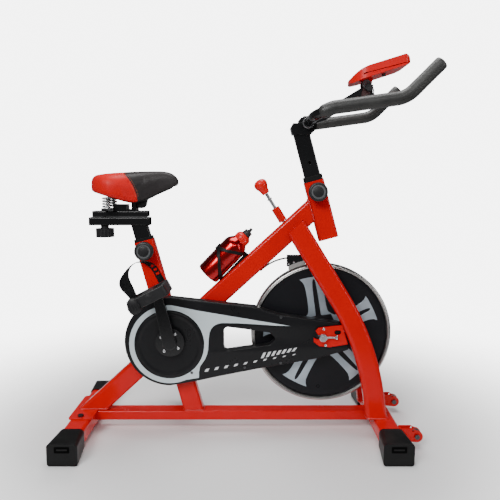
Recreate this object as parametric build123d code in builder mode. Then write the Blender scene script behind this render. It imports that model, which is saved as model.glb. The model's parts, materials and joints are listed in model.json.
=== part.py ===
from build123d import *
import os
from math import atan, cos, degrees, hypot, radians, sin, tan

# Indoor spin bike, in millimetres.
# +X is forward (towards the handlebar), +Y is the rider's left, +Z is up.
# The origin is on the floor, midway between the front, rear, left and right ends.

os.makedirs("parts", exist_ok=True)

# ---------------------------------------------------------------- driving dimensions
REAR_X = -484.0            # rear stabiliser's axis
FRONT_X = 430.0            # front stabiliser's axis
HALF_WIDTH = 245.0         # outer end of the stabiliser caps
WALL = 2.0                 # wall of the frame tubes
FIT = 0.05                 # radial clearance of a running fit
GAP = 0.3                  # clearance between pieces that slide past each other

STAB_W = 62.0              # stabiliser tube, fore and aft
STAB_LOW = 12.0
DECK_Z = 62.0              # top of the stabilisers and of the base rail
RAIL_W = 50.0
RAIL_H = 30.0
BRACKET_T = 4.0            # rear bracket plate on the stabiliser

CAP_INNER_Y = 160.0
CAP_TUBE_END_Y = 212.0
CAP_OUTER_W = 84.0
CAP_INNER_W = 70.0
CAP_TOP = 66.0
LEVELLER_Z = 39.0
LEVELLER_Y = 231.0
LEVELLER_R = 17.0

TUBE_W = 60.0              # main tubes, in the side view
TUBE_D = 40.0              # main tubes, across the bike
POST_W = 48.0              # seat and handlebar posts
POST_D = 28.0

BB_X = -213.0              # crank axis
BB_Z = 293.0
DIAG_RISE = 42.6           # slope of the main diagonal tube
LEAN = 15.3                # backward lean of the seat tube and the head tube
SEAT_TUBE_TOP = 309.0      # from the crank axis, along the seat tube
HEAD_X = 230.5             # a point on the head tube's axis
HEAD_Z = 716.0
HEAD_UP = 56.0             # from that point to the head tube's top
HEAD_DOWN = 123.0          # and to its open lower end

FLY_X = 243.0              # flywheel axis
FLY_Z = 308.0
FLY_R = 214.0
FLY_HALF_T = 20.0
RIM_IN_R = 201.0
WEB_T = 8.0
FLY_BOSS_R = 42.0
COVER_R = RIM_IN_R - 1.2
COVER_T = 3.0
COVER_IN = 9.0
BIG_PULLEY_R = 95.0
SMALL_PULLEY_R = 30.0
BELT_Y = -40.0             # middle plane of the belt
BELT_W = 12.0

LEG_W = 62.0               # fork leg, in the side view
LEG_D = 40.0               # fork leg, across the bike
LEG_TOP_Z = 665.0          # where the legs' inner faces meet the diagonal tube's sides
LEG_TOP_Y = 40.0
LEG_FOOT_Y = 65.0
LEG_BEND_R = 750.0

GUARD_BACK_Y = -26.0
GUARD_FACE_Y = -56.0
GUARD_T = 3.0
GUARD_STEP = 5.0           # shoulder round the guard's face
GUARD_R = 132.5
GUARD_END_X = -216.5       # centre of the guard's round rear end
GUARD_END_Z = 294.0
DISH_Z = 285.0             # centre height of the dish round the crank
DISH_R = 104.0

CRANK_LEN = 165.0
CRANK_ANGLE = 103.0        # right crank at rest, from +X towards +Z
PEDAL_TILT = 27.0
PEDAL_Y = 155.0
PEDAL_L = 108.0
PEDAL_W = 96.0
PEDAL_H = 32.0
ARCH_H = 101.0             # toe strap's height over the pedal's middle

SEAT_RAIL_Z = 638.0        # underside of the saddle's horizontal rail
SLIDER_Z = 664.0
SLIDER_TOP = 681.0
SLIDER_KNOB_X = -413.0

BAR_X = 195.0              # lateral part of the handlebar
BAR_Z = 938.0
BAR_R = 14.0
GRIP_R = 18.0
BAR_Y = 215.0              # the two side arms
CONSOLE_HALF_W = 64.0
TILT_X = 371.0             # console's tilt pin
TILT_Z = 1040.0

BOTTLE_X = -104.0          # middle of the bottle's base
BOTTLE_Z = 486.5
BOTTLE_RISE = 46.0
BOTTLE_R = 37.0

KNOB_X = 62.0              # a point on the brake rod's axis
KNOB_Z = 752.0
ROD_TILT = 32.1            # of the brake rod, from the vertical

WHEEL_X = 509.0            # transport wheel axle
WHEEL_Z = 35.0
WHEEL_Y = 131.0


# ---------------------------------------------------------------- shared helpers
def save(piece, name):
    """Label a finished piece and write it as its own STEP file."""
    piece.part.label = name
    export_step(piece.part, f"parts/{name}.step")


def side(y):
    """A plane that faces the rider's right at this Y: local x is X, local y is Z."""
    return Plane.XZ.offset(-y)


def tilted(x, z, back, y=0.0):
    """A plane whose normal leans back from +Z by this many degrees, in the side view."""
    s = sin(radians(back))
    c = cos(radians(back))
    return Plane(origin=(x, y, z), x_dir=(c, 0, s), z_dir=(-s, 0, c))


def up_axis(x, z, back, distance):
    """The point at this distance along a leaning axis."""
    s = sin(radians(back))
    c = cos(radians(back))
    return x - distance * s, z + distance * c


def polar(x, z, angle, radius):
    """A point at this angle and radius round (x, z) in the side view."""
    return x + radius * cos(radians(angle)), z + radius * sin(radians(angle))


DIAG_BACK = DIAG_RISE - 90.0
SEAT_TOP_X, SEAT_TOP_Z = up_axis(BB_X, BB_Z, LEAN, SEAT_TUBE_TOP)
HEAD_TOP_X, HEAD_TOP_Z = up_axis(HEAD_X, HEAD_Z, LEAN, HEAD_UP)
SEAT_PLANE = tilted(SEAT_TOP_X, SEAT_TOP_Z, LEAN)
HEAD_PLANE = tilted(HEAD_TOP_X, HEAD_TOP_Z, LEAN)
ROD_PLANE = tilted(KNOB_X, KNOB_Z, ROD_TILT)
DIAG_PLANE = tilted(BB_X, BB_Z, DIAG_BACK)

# ---------------------------------------------------------------- base
RAIL_REAR = REAR_X + STAB_W / 2
RAIL_FRONT = FRONT_X - STAB_W / 2
BRACKET_HALF_Y = 92.0

with BuildPart() as base_rail:
    with BuildSketch(Plane.YZ.offset(RAIL_REAR)):
        with Locations((0, DECK_Z - RAIL_H / 2)):
            RectangleRounded(RAIL_W, RAIL_H, 5)
            RectangleRounded(RAIL_W - 2 * WALL, RAIL_H - 2 * WALL, 3, mode=Mode.SUBTRACT)
    extrude(amount=RAIL_FRONT - RAIL_REAR)
    # the plate that bolts the frame to the rear stabiliser
    with BuildSketch(Plane.XY.offset(DECK_Z)):
        with Locations((REAR_X + 2, 0)):
            RectangleRounded(STAB_W + 10, 2 * BRACKET_HALF_Y, 10)
        with Locations((REAR_X, -75), (REAR_X, 75)):
            Circle(5, mode=Mode.SUBTRACT)
    extrude(amount=BRACKET_T)
save(base_rail, "base_rail")


def stabiliser(axis_x, name):
    """A rounded tube across the bike, closed by its end caps."""
    with BuildPart() as tube:
        with BuildSketch(side(CAP_TUBE_END_Y)):
            with Locations((axis_x, (STAB_LOW + DECK_Z) / 2)):
                RectangleRounded(STAB_W, DECK_Z - STAB_LOW, 11)
                inner = DECK_Z - STAB_LOW - 2 * WALL
                RectangleRounded(STAB_W - 2 * WALL, inner, 9, mode=Mode.SUBTRACT)
        extrude(amount=2 * CAP_TUBE_END_Y)
    save(tube, name)


stabiliser(REAR_X, "rear_stabiliser")
stabiliser(FRONT_X, "front_stabiliser")

with BuildPart() as end_caps:
    for axis_x in (REAR_X, FRONT_X):
        for hand in (-1, 1):
            with BuildSketch(side(hand * CAP_INNER_Y)) as inner_end:
                with Locations((axis_x, (CAP_TOP + 2) / 2)):
                    RectangleRounded(CAP_INNER_W, CAP_TOP - 2, 14)
            with BuildSketch(side(hand * HALF_WIDTH)) as outer_end:
                with Locations((axis_x, 31)):
                    RectangleRounded(CAP_OUTER_W, 62, 8)
            loft(sections=[inner_end.sketch.faces()[0], outer_end.sketch.faces()[0]])
    # flat soles
    with BuildSketch(Plane.XY):
        for hand in (-1, 1):
            with Locations((REAR_X, hand * 205), (FRONT_X, hand * 205)):
                RectangleRounded(60, 74, 6)
    extrude(amount=6)
    # pockets for the tubes
    with BuildSketch(side(CAP_TUBE_END_Y)):
        with Locations((REAR_X, (STAB_LOW + DECK_Z) / 2), (FRONT_X, (STAB_LOW + DECK_Z) / 2)):
            RectangleRounded(STAB_W, DECK_Z - STAB_LOW, 11)
    extrude(amount=2 * CAP_TUBE_END_Y, mode=Mode.SUBTRACT)
    # slots and stud holes for the levelling wheels
    for hand in (-1, 1):
        with BuildSketch(Plane.XY.offset(LEVELLER_Z - 8)):
            with Locations((REAR_X, hand * 233), (FRONT_X, hand * 233)):
                Rectangle(46, 34)
        extrude(amount=16, mode=Mode.SUBTRACT)
        with BuildSketch(Plane.XY.offset(12)):
            with Locations((REAR_X, hand * LEVELLER_Y), (FRONT_X, hand * LEVELLER_Y)):
                Circle(4 + FIT)
        extrude(amount=40, mode=Mode.SUBTRACT)
save(end_caps, "end_caps")


def levelling_wheel(x, hand, name):
    """A knurled thumb wheel with its threaded stud, standing in a cap's slot."""
    plane = Plane(origin=(x, hand * LEVELLER_Y, 0))
    with BuildPart() as wheel:
        with BuildSketch(plane.offset(LEVELLER_Z - 6)):
            Circle(LEVELLER_R - 4)
            with PolarLocations(LEVELLER_R - 4, 20):
                Circle(1.2, mode=Mode.SUBTRACT)
        extrude(amount=12)
        with BuildSketch(plane.offset(15)):
            Circle(4)
        extrude(amount=LEVELLER_Z + 10 - 15)
    save(wheel, name)


for place, axis_x in (("rear", REAR_X), ("front", FRONT_X)):
    for word, hand in (("right", -1), ("left", 1)):
        levelling_wheel(axis_x, hand, f"levelling_wheel_{place}_{word}")

EAR_T = 4.0
EAR_GAP = 20.0
WHEEL_R = 15.5
FRONT_FACE = FRONT_X + STAB_W / 2

with BuildPart() as wheel_brackets:
    for hand in (-1, 1):
        for edge in (-1, 1):
            middle = hand * WHEEL_Y + edge * (EAR_GAP + EAR_T) / 2
            with BuildSketch(side(middle + EAR_T / 2)):
                with BuildLine():
                    Polyline(
                        (FRONT_FACE, 23),
                        (WHEEL_X, WHEEL_Z - 17),
                        (WHEEL_X, WHEEL_Z + 17),
                        (WHEEL_X - 12, 58),
                        (FRONT_FACE, 58),
                        close=True,
                    )
                make_face()
                with Locations((WHEEL_X, WHEEL_Z)):
                    Circle(17)
                    Circle(4, mode=Mode.SUBTRACT)
                with Locations((WHEEL_X - 11, WHEEL_Z + 17)):
                    Circle(3, mode=Mode.SUBTRACT)
            extrude(amount=EAR_T)
        # the web that is welded to the stabiliser
        with BuildSketch(side(hand * WHEEL_Y + EAR_GAP / 2)):
            with Locations((FRONT_FACE + 2.5, 40)):
                Rectangle(5, 30)
        extrude(amount=EAR_GAP)
save(wheel_brackets, "wheel_brackets")


def transport_wheel(hand, name):
    """A small solid wheel that turns on its bolt between two ears."""
    with BuildPart() as wheel:
        with BuildSketch(side(hand * WHEEL_Y + EAR_GAP / 2 - 1)):
            with Locations((WHEEL_X, WHEEL_Z)):
                Circle(WHEEL_R)
                Circle(4 + FIT, mode=Mode.SUBTRACT)
        extrude(amount=EAR_GAP - 2)
    save(wheel, name)


transport_wheel(-1, "transport_wheel_right")
transport_wheel(1, "transport_wheel_left")

# ---------------------------------------------------------------- main frame tubes
DIAG_UP = 640.0            # long enough to reach past the head tube before trimming
DIAG_DOWN = 420.0
BOSS_R = 12.5
ROD_R = 5.0
SHELL_R = 25.0
SHELL_HALF = 32.0          # inside the plane of the belt
BEARING_R = 20.0
HEAD_BACK_FACE = Plane(
    origin=HEAD_PLANE.origin - HEAD_PLANE.x_dir * (TUBE_W / 2),
    z_dir=HEAD_PLANE.x_dir,
)

with BuildPart() as diagonal_tube:
    with BuildSketch(DIAG_PLANE.offset(-DIAG_DOWN)):
        RectangleRounded(TUBE_W, TUBE_D, 9)
        RectangleRounded(TUBE_W - 2 * WALL, TUBE_D - 2 * WALL, 7, mode=Mode.SUBTRACT)
    extrude(amount=DIAG_DOWN + DIAG_UP)
    split(bisect_by=HEAD_BACK_FACE, keep=Keep.BOTTOM)
    split(bisect_by=Plane.XY.offset(DECK_Z), keep=Keep.TOP)
    # room for the rear bracket plate
    with BuildSketch(Plane.XY.offset(DECK_Z)):
        with Locations((REAR_X + 2, 0)):
            Rectangle(STAB_W + 10, 2 * BRACKET_HALF_Y)
    extrude(amount=BRACKET_T, mode=Mode.SUBTRACT)
    # bottom bracket shell, welded through the tube
    with BuildSketch(side(SHELL_HALF)):
        with Locations((BB_X, BB_Z)):
            Circle(SHELL_R)
    extrude(amount=2 * SHELL_HALF)
    with BuildSketch(side(SHELL_HALF)):
        with Locations((BB_X, BB_Z)):
            Circle(BEARING_R)
    extrude(amount=2 * SHELL_HALF, mode=Mode.SUBTRACT)
    # brake boss on the upper face
    with BuildSketch(ROD_PLANE.offset(-120)):
        Circle(BOSS_R)
    extrude(amount=46)
    with BuildSketch(ROD_PLANE.offset(-240)):
        Circle(ROD_R + FIT)
    extrude(amount=240, mode=Mode.SUBTRACT)
save(diagonal_tube, "diagonal_tube")

SEAT_FOOT_LEN = 300.0
PIN_SEAT = -28.0           # the seat pin's place, along the seat tube from its top
PIN_HEAD = -33.0           # the handlebar pin's place, along the head tube from its top
PIN_R = 5.0
HOUSING_R = 13.0
HOUSING_Y = -36.0

with BuildPart() as seat_tube:
    with BuildSketch(SEAT_PLANE.offset(-SEAT_TUBE_TOP - SEAT_FOOT_LEN)):
        RectangleRounded(TUBE_W, TUBE_D, 9)
        RectangleRounded(TUBE_W - 2 * WALL, TUBE_D - 2 * WALL, 7, mode=Mode.SUBTRACT)
    extrude(amount=SEAT_TUBE_TOP + SEAT_FOOT_LEN)
    split(bisect_by=Plane.XY.offset(DECK_Z), keep=Keep.TOP)
    # the diagonal tube runs through between the upper and the lower part
    with BuildSketch(DIAG_PLANE.offset(-150)):
        Rectangle(TUBE_W, TUBE_D + 10)
    extrude(amount=300, mode=Mode.SUBTRACT)
    # housing of the locking pin
    pin_x, pin_z = up_axis(SEAT_TOP_X, SEAT_TOP_Z, LEAN, PIN_SEAT)
    with BuildSketch(side(-TUBE_D / 2 + 0.5)):
        with Locations((pin_x, pin_z)):
            Circle(HOUSING_R)
    extrude(amount=-TUBE_D / 2 + 0.5 - HOUSING_Y)
    with BuildSketch(side(-POST_D / 2)):
        with Locations((pin_x, pin_z)):
            Circle(PIN_R + FIT)
    extrude(amount=-POST_D / 2 - HOUSING_Y, mode=Mode.SUBTRACT)
save(seat_tube, "seat_tube")

with BuildPart() as head_tube:
    with BuildSketch(HEAD_PLANE.offset(-HEAD_UP - HEAD_DOWN)):
        RectangleRounded(TUBE_W, TUBE_D, 9)
        RectangleRounded(TUBE_W - 2 * WALL, TUBE_D - 2 * WALL, 7, mode=Mode.SUBTRACT)
    extrude(amount=HEAD_UP + HEAD_DOWN)
    pin_x, pin_z = up_axis(HEAD_TOP_X, HEAD_TOP_Z, LEAN, PIN_HEAD)
    with BuildSketch(side(-TUBE_D / 2 + 0.5)):
        with Locations((pin_x, pin_z)):
            Circle(HOUSING_R)
    extrude(amount=-TUBE_D / 2 + 0.5 - HOUSING_Y)
    with BuildSketch(side(-POST_D / 2)):
        with Locations((pin_x, pin_z)):
            Circle(PIN_R + FIT)
    extrude(amount=-POST_D / 2 - HOUSING_Y, mode=Mode.SUBTRACT)
save(head_tube, "head_tube")

COLLAR_DEPTH = 60.0
with BuildPart() as post_collars:
    for plane, flange, pin in ((SEAT_PLANE, 9.0, PIN_SEAT), (HEAD_PLANE, 16.0, PIN_HEAD)):
        with BuildSketch(plane.offset(-COLLAR_DEPTH)):
            RectangleRounded(TUBE_W - 2 * WALL, TUBE_D - 2 * WALL, 7)
        extrude(amount=COLLAR_DEPTH)
        with BuildSketch(plane):
            RectangleRounded(TUBE_W - 3, TUBE_D - 3, 8)
        extrude(amount=flange)
        with BuildSketch(plane.offset(-COLLAR_DEPTH)):
            RectangleRounded(POST_W + 2 * FIT, POST_D + 2 * FIT, 6 + FIT)
        extrude(amount=COLLAR_DEPTH + flange, mode=Mode.SUBTRACT)
        hole_x, hole_z = plane.offset(pin).origin.X, plane.offset(pin).origin.Z
        with BuildSketch(side(0)):
            with Locations((hole_x, hole_z)):
                Circle(PIN_R + FIT)
        extrude(amount=TUBE_D, mode=Mode.SUBTRACT)
save(post_collars, "post_collars")

# ---------------------------------------------------------------- fork
splay = atan((LEG_FOOT_Y - LEG_TOP_Y) / (LEG_TOP_Z - DECK_Z))
leg_ground_y = LEG_FOOT_Y + DECK_Z * tan(splay)
LEG_CORNER = (376.0, 285.0)
LEG_FOOT = (411.0, 30.0)
LEG_LEAN = 31.6            # of the straight upper part
LEG_START = up_axis(*LEG_CORNER, LEG_LEAN, 500)

with BuildPart() as fork_legs:
    for hand in (-1, 1):
        leg_plane = Plane(
            origin=(0, hand * leg_ground_y, 0),
            x_dir=(1, 0, 0),
            z_dir=(0, -cos(splay), -hand * sin(splay)),
        )
        with BuildLine(leg_plane) as leg_path:
            FilletPolyline(LEG_START, LEG_CORNER, LEG_FOOT, radius=LEG_BEND_R)
        start = Plane(origin=leg_path.line @ 0, x_dir=leg_plane.z_dir, z_dir=leg_path.line % 0)
        with BuildSketch(start):
            RectangleRounded(LEG_D, LEG_W, 12)
            RectangleRounded(LEG_D - 2 * WALL, LEG_W - 2 * WALL, 10, mode=Mode.SUBTRACT)
        sweep(path=leg_path.line)
    split(bisect_by=Plane.XY.offset(DECK_Z), keep=Keep.TOP)
    # the upper ends follow the middle of the diagonal tube
    mid_plane = Plane(origin=DIAG_PLANE.origin, z_dir=-DIAG_PLANE.x_dir)
    split(bisect_by=mid_plane, keep=Keep.BOTTOM)
save(fork_legs, "fork_legs")

DROPOUT_Y = 62.0
DROPOUT_T = 5.0
AXLE_R = 6.0

with BuildPart() as dropout_plates:
    for hand in (-1, 1):
        with BuildSketch(side(hand * DROPOUT_Y + DROPOUT_T / 2)):
            with BuildLine():
                Polyline(
                    (300, 344),
                    (FLY_X + 25, 341),
                    (FLY_X - 14, 336),
                    (FLY_X - 22, 326),
                    (FLY_X - 14, FLY_Z + 7),
                    (FLY_X + 7, FLY_Z + 7),
                    (FLY_X + 7, FLY_Z - 7),
                    (FLY_X - 18, FLY_Z - 7),
                    (FLY_X - 28, FLY_Z - 2),
                    (FLY_X - 27, 293),
                    (FLY_X - 10, 280),
                    (FLY_X + 20, 277),
                    (318, 286),
                    close=True,
                )
            make_face()
            with Locations((FLY_X + 44, FLY_Z + 14)):
                SlotOverall(20, 14, mode=Mode.SUBTRACT)
        extrude(amount=DROPOUT_T)
save(dropout_plates, "dropout_plates")

# ---------------------------------------------------------------- flywheel and its axle
HUB_R = 25.0
with BuildPart() as flywheel:
    with BuildSketch(side(FLY_HALF_T)):
        with Locations((FLY_X, FLY_Z)):
            Circle(FLY_R)
            Circle(RIM_IN_R, mode=Mode.SUBTRACT)
    extrude(amount=2 * FLY_HALF_T)
    chamfer(flywheel.edges().filter_by(GeomType.CIRCLE).sort_by(SortBy.RADIUS)[-2:], 2)
    with BuildSketch(side(WEB_T / 2)):
        with Locations((FLY_X, FLY_Z)):
            Circle(RIM_IN_R)
    extrude(amount=WEB_T)
    with BuildSketch(side(COVER_IN)):
        with Locations((FLY_X, FLY_Z)):
            Circle(FLY_BOSS_R)
    extrude(amount=2 * COVER_IN)
    with BuildSketch(side(COVER_IN)):
        with Locations((FLY_X, FLY_Z)):
            Circle(HUB_R)
    extrude(amount=2 * COVER_IN, mode=Mode.SUBTRACT)
save(flywheel, "flywheel")

# thin discs that close the hollow of the rim on both sides
with BuildPart() as flywheel_covers:
    for face_y in (-COVER_IN, COVER_IN + COVER_T):
        with BuildSketch(side(face_y)):
            with Locations((FLY_X, FLY_Z)):
                Circle(COVER_R)
                Circle(HUB_R + 3, mode=Mode.SUBTRACT)
        extrude(amount=COVER_T)
save(flywheel_covers, "flywheel_covers")

HUB_LEFT = 32.0
PULLEY_NEAR = BELT_Y - BELT_W / 2 - 1
PULLEY_FAR = BELT_Y + BELT_W / 2 + 1
with BuildPart() as flywheel_hub:
    with BuildSketch(side(HUB_LEFT)):
        with Locations((FLY_X, FLY_Z)):
            Circle(HUB_R)
    extrude(amount=HUB_LEFT - PULLEY_FAR)
    with BuildSketch(side(PULLEY_FAR)):
        with Locations((FLY_X, FLY_Z)):
            Circle(SMALL_PULLEY_R)
    extrude(amount=PULLEY_FAR - PULLEY_NEAR)
    with BuildSketch(side(HUB_LEFT)):
        with Locations((FLY_X, FLY_Z)):
            Circle(AXLE_R + FIT)
    extrude(amount=HUB_LEFT - PULLEY_NEAR, mode=Mode.SUBTRACT)
save(flywheel_hub, "flywheel_hub")

DROPOUT_IN = DROPOUT_Y - DROPOUT_T / 2
DROPOUT_OUT = DROPOUT_Y + DROPOUT_T / 2
with BuildPart() as flywheel_axle:
    with BuildSketch(side(82)):
        with Locations((FLY_X, FLY_Z)):
            Circle(AXLE_R)
    extrude(amount=164)
    # spacers between the hub and the dropout plates
    with BuildSketch(side(DROPOUT_IN)):
        with Locations((FLY_X, FLY_Z)):
            Circle(9.5)
    extrude(amount=DROPOUT_IN - HUB_LEFT - GAP)
    with BuildSketch(side(PULLEY_NEAR - GAP)):
        with Locations((FLY_X, FLY_Z)):
            Circle(9.5)
    extrude(amount=DROPOUT_IN + PULLEY_NEAR - GAP)
    # nuts, and the bolts that pull the axle back to tighten the belt
    for hand in (-1, 1):
        outer = hand * DROPOUT_OUT if hand < 0 else DROPOUT_OUT + 12
        with BuildSketch(side(outer)):
            with Locations((FLY_X, FLY_Z)):
                RegularPolygon(12, 6)
        extrude(amount=12)
        with BuildSketch(Plane(origin=(FLY_X + 8, hand * (DROPOUT_OUT + 5), FLY_Z), z_dir=(1, 0, 0))):
            Circle(3)
        extrude(amount=34)
save(flywheel_axle, "flywheel_axle")

# ---------------------------------------------------------------- crankset
SPINDLE_R = 10.0
ARM_NEAR = 82.0
ARM_FAR = 66.0
HUB_DISC_FAR = 62.0

with BuildPart() as bottom_bracket_bearings:
    for outer in (SHELL_HALF, -SHELL_HALF + 11):
        with BuildSketch(side(outer)):
            with Locations((BB_X, BB_Z)):
                Circle(BEARING_R)
                Circle(SPINDLE_R + FIT, mode=Mode.SUBTRACT)
        extrude(amount=11)
save(bottom_bracket_bearings, "bottom_bracket_bearings")

with BuildPart() as crank_spindle:
    with BuildSketch(side(ARM_NEAR - 3)):
        with Locations((BB_X, BB_Z)):
            Circle(SPINDLE_R)
    extrude(amount=2 * (ARM_NEAR - 3))
save(crank_spindle, "crank_spindle")

with BuildPart() as drive_pulley:
    with BuildSketch(side(PULLEY_FAR)):
        with Locations((BB_X, BB_Z)):
            Circle(BIG_PULLEY_R)
            Circle(BIG_PULLEY_R - 9, mode=Mode.SUBTRACT)
            Circle(22)
            Circle(SPINDLE_R, mode=Mode.SUBTRACT)
    extrude(amount=PULLEY_FAR - PULLEY_NEAR)
    with BuildSketch(side(BELT_Y + 2)):
        with Locations((BB_X, BB_Z)):
            Circle(BIG_PULLEY_R - 5)
            Circle(SPINDLE_R, mode=Mode.SUBTRACT)
            with PolarLocations(54, 5):
                Circle(19, mode=Mode.SUBTRACT)
    extrude(amount=4)
save(drive_pulley, "drive_pulley")

BELT_T = 3.5
BELT_CLEAR = 0.4
with BuildPart() as drive_belt:
    with BuildSketch(side(BELT_Y + BELT_W / 2)):
        with Locations((BB_X, BB_Z)):
            Circle(BIG_PULLEY_R + BELT_CLEAR + BELT_T)
        with Locations((FLY_X, FLY_Z)):
            Circle(SMALL_PULLEY_R + BELT_CLEAR + BELT_T)
        make_hull()
        offset(amount=-BELT_T, mode=Mode.SUBTRACT)
    extrude(amount=BELT_W)
save(drive_belt, "drive_belt")


def crank_arm(hand, angle, name):
    """A forged arm with its pedal axle; the right one carries the round spider."""
    eye_x, eye_z = polar(BB_X, BB_Z, angle, CRANK_LEN)
    start = hand * ARM_FAR if hand < 0 else ARM_NEAR
    with BuildPart() as arm:
        with BuildSketch(side(start)):
            with Locations((BB_X, BB_Z)):
                Circle(21)
            with Locations((eye_x, eye_z)):
                Circle(13)
            make_hull()
        extrude(amount=ARM_NEAR - ARM_FAR)
        fillet(arm.edges().filter_by(GeomType.LINE, reverse=True).group_by(Axis.Y)[0], 3)
        if hand < 0:
            with BuildSketch(side(-HUB_DISC_FAR)):
                with Locations((BB_X, BB_Z)):
                    Circle(43)
            extrude(amount=8)
        with BuildSketch(side(hand * ARM_FAR)):
            with Locations((BB_X, BB_Z)):
                Circle(SPINDLE_R)
        extrude(amount=-hand * (ARM_NEAR - 3 - ARM_FAR), mode=Mode.SUBTRACT)
        if hand < 0:
            with BuildSketch(side(-HUB_DISC_FAR)):
                with Locations((BB_X, BB_Z)):
                    Circle(SPINDLE_R)
            extrude(amount=ARM_FAR - HUB_DISC_FAR, mode=Mode.SUBTRACT)
        with BuildSketch(side(hand * (ARM_NEAR - 1))):
            with Locations((eye_x, eye_z)):
                Circle(7)
        extrude(amount=-hand * (PEDAL_Y + PEDAL_W / 2 - 6 - ARM_NEAR + 1))
    save(arm, name)


crank_arm(-1, CRANK_ANGLE, "crank_arm_right")
crank_arm(1, CRANK_ANGLE + 180, "crank_arm_left")


def pedal(hand, angle, word):
    """A cage pedal and the strap that arches over it from corner to corner."""
    x, z = polar(BB_X, BB_Z, angle, CRANK_LEN)
    s = sin(radians(PEDAL_TILT))
    c = cos(radians(PEDAL_TILT))
    plane = Plane(origin=(x, hand * PEDAL_Y, z), x_dir=(c, 0, s), z_dir=(-s, 0, c))
    deck = PEDAL_H / 2
    with BuildPart() as body:
        with BuildSketch(plane.offset(-deck)):
            RectangleRounded(PEDAL_L, PEDAL_W, 12)
            with GridLocations(58, 0, 2, 1):
                RectangleRounded(26, PEDAL_W - 26, 5, mode=Mode.SUBTRACT)
        extrude(amount=PEDAL_H)
        # a barrel joins the two ends round the axle
        with BuildSketch(side(hand * PEDAL_Y + PEDAL_W / 2)):
            with Locations((x, z)):
                Circle(14)
        extrude(amount=PEDAL_W)
        with BuildSketch(side(hand * PEDAL_Y + PEDAL_W / 2 + 1)):
            with Locations((x, z)):
                Circle(7 + FIT)
        extrude(amount=PEDAL_W + 2, mode=Mode.SUBTRACT)
    save(body, f"pedal_{word}")

    # The strap stands on the diagonal of the deck, outer rear corner to inner front corner.
    half_u = PEDAL_L / 2 - 16
    half_v = PEDAL_W / 2 - 12
    reach = hypot(half_u, half_v)
    along = (plane.x_dir * half_u - plane.y_dir * (hand * half_v)).normalized()
    across = plane.z_dir.cross(along)
    arch_plane = Plane(origin=plane.origin, x_dir=along, z_dir=-across)
    with BuildPart() as strap:
        with BuildSketch(arch_plane.offset(-12)):
            with BuildLine():
                Line((-reach, deck + GAP), (-reach, 50))
                Line((reach, deck + GAP), (reach, 50))
                EllipticalCenterArc((0, 50), reach, ARCH_H - 50, start_angle=0, arc_size=180)
                Line((-reach, deck + GAP), (-reach + 3, deck + GAP))
                Line((reach, deck + GAP), (reach - 3, deck + GAP))
                Line((-reach + 3, deck + GAP), (-reach + 3, 50))
                Line((reach - 3, deck + GAP), (reach - 3, 50))
                EllipticalCenterArc((0, 50), reach - 3, ARCH_H - 53, start_angle=0, arc_size=180)
            make_face()
        extrude(amount=24)
        # the buckle where the strap meets the pedal's outer rear corner
        with BuildSketch(arch_plane.offset(-15)):
            with Locations((-reach - 5, deck + 9)):
                Rectangle(9, 17)
        extrude(amount=30)
    save(strap, f"pedal_strap_{word}")


pedal(-1, CRANK_ANGLE, "right")
pedal(1, CRANK_ANGLE + 180, "left")


# ---------------------------------------------------------------- drive guard
def guard_outline():
    """The guard's shape: a round rear end and a body that narrows towards the flywheel axle."""
    with BuildSketch(side(GUARD_BACK_Y)) as shape:
        with BuildLine():
            Polyline(
                (GUARD_END_X + 11, GUARD_END_Z + GUARD_R - 0.5),
                (40, 398),
                (110, 374),
                (293, 349),
                (327, 267),
                (225, 238),
                (50, 207),
                (-65, 184),
                (-128, 170),
                (GUARD_END_X, GUARD_END_Z - GUARD_R),
                close=True,
            )
        make_face()
        fillet(shape.vertices().filter_by(lambda v: v.X > 290), 10)
        fillet(shape.vertices().filter_by(lambda v: 35 < v.X < 115 and v.Z > 300), 45)
        with Locations((GUARD_END_X, GUARD_END_Z)):
            Circle(GUARD_R)
    return shape.sketch_local


def guard_window(grow):
    """The window between the belt's two runs, with its edge moved out by this much."""
    with BuildSketch(side(GUARD_BACK_Y)) as shape:
        with BuildLine():
            Polyline((-53, 338), (84, 320), (103, 300), (86, 282), (-53, 261), close=True)
        make_face()
        fillet(shape.vertices(), 9)
        if grow:
            offset(amount=grow, mode=Mode.REPLACE)
    return shape.sketch_local


outline = guard_outline()
window = guard_window(0)
window_wall = guard_window(GUARD_T)
GUARD_DEPTH = GUARD_BACK_Y - GUARD_FACE_Y

with BuildPart() as guard_outer:
    with BuildSketch(side(GUARD_BACK_Y)):
        add(outline)
    extrude(amount=GUARD_DEPTH - GUARD_STEP)
    # the face stands on a shoulder that runs all round
    with BuildSketch(side(GUARD_FACE_Y + GUARD_STEP)):
        add(outline)
        offset(amount=-GUARD_STEP, mode=Mode.REPLACE)
    extrude(amount=GUARD_STEP)
    with BuildSketch(side(GUARD_BACK_Y)):
        add(outline)
        offset(amount=-GUARD_T, mode=Mode.REPLACE)
        add(window_wall, mode=Mode.SUBTRACT)
    extrude(amount=GUARD_DEPTH - GUARD_STEP - GUARD_T, mode=Mode.SUBTRACT)
    # raised dish round the crank
    with BuildSketch(side(GUARD_FACE_Y + 1)):
        with Locations((GUARD_END_X, DISH_Z)):
            Circle(DISH_R)
    extrude(amount=4)
    with BuildSketch(side(GUARD_BACK_Y)):
        add(window)
        with Locations((BB_X, BB_Z)):
            Circle(SPINDLE_R + 2)
        with Locations((FLY_X, FLY_Z)):
            Circle(14)
    extrude(amount=GUARD_DEPTH + 10, mode=Mode.SUBTRACT)
save(guard_outer, "guard_outer")

with BuildPart() as guard_inner:
    with BuildSketch(side(GUARD_BACK_Y + 2)):
        add(outline)
        add(window, mode=Mode.SUBTRACT)
        with Locations((BB_X, BB_Z)):
            Circle(SHELL_R + 1, mode=Mode.SUBTRACT)
        with Locations((FLY_X, FLY_Z)):
            Circle(HUB_R + 3, mode=Mode.SUBTRACT)
    extrude(amount=2)
save(guard_inner, "guard_inner")

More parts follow.
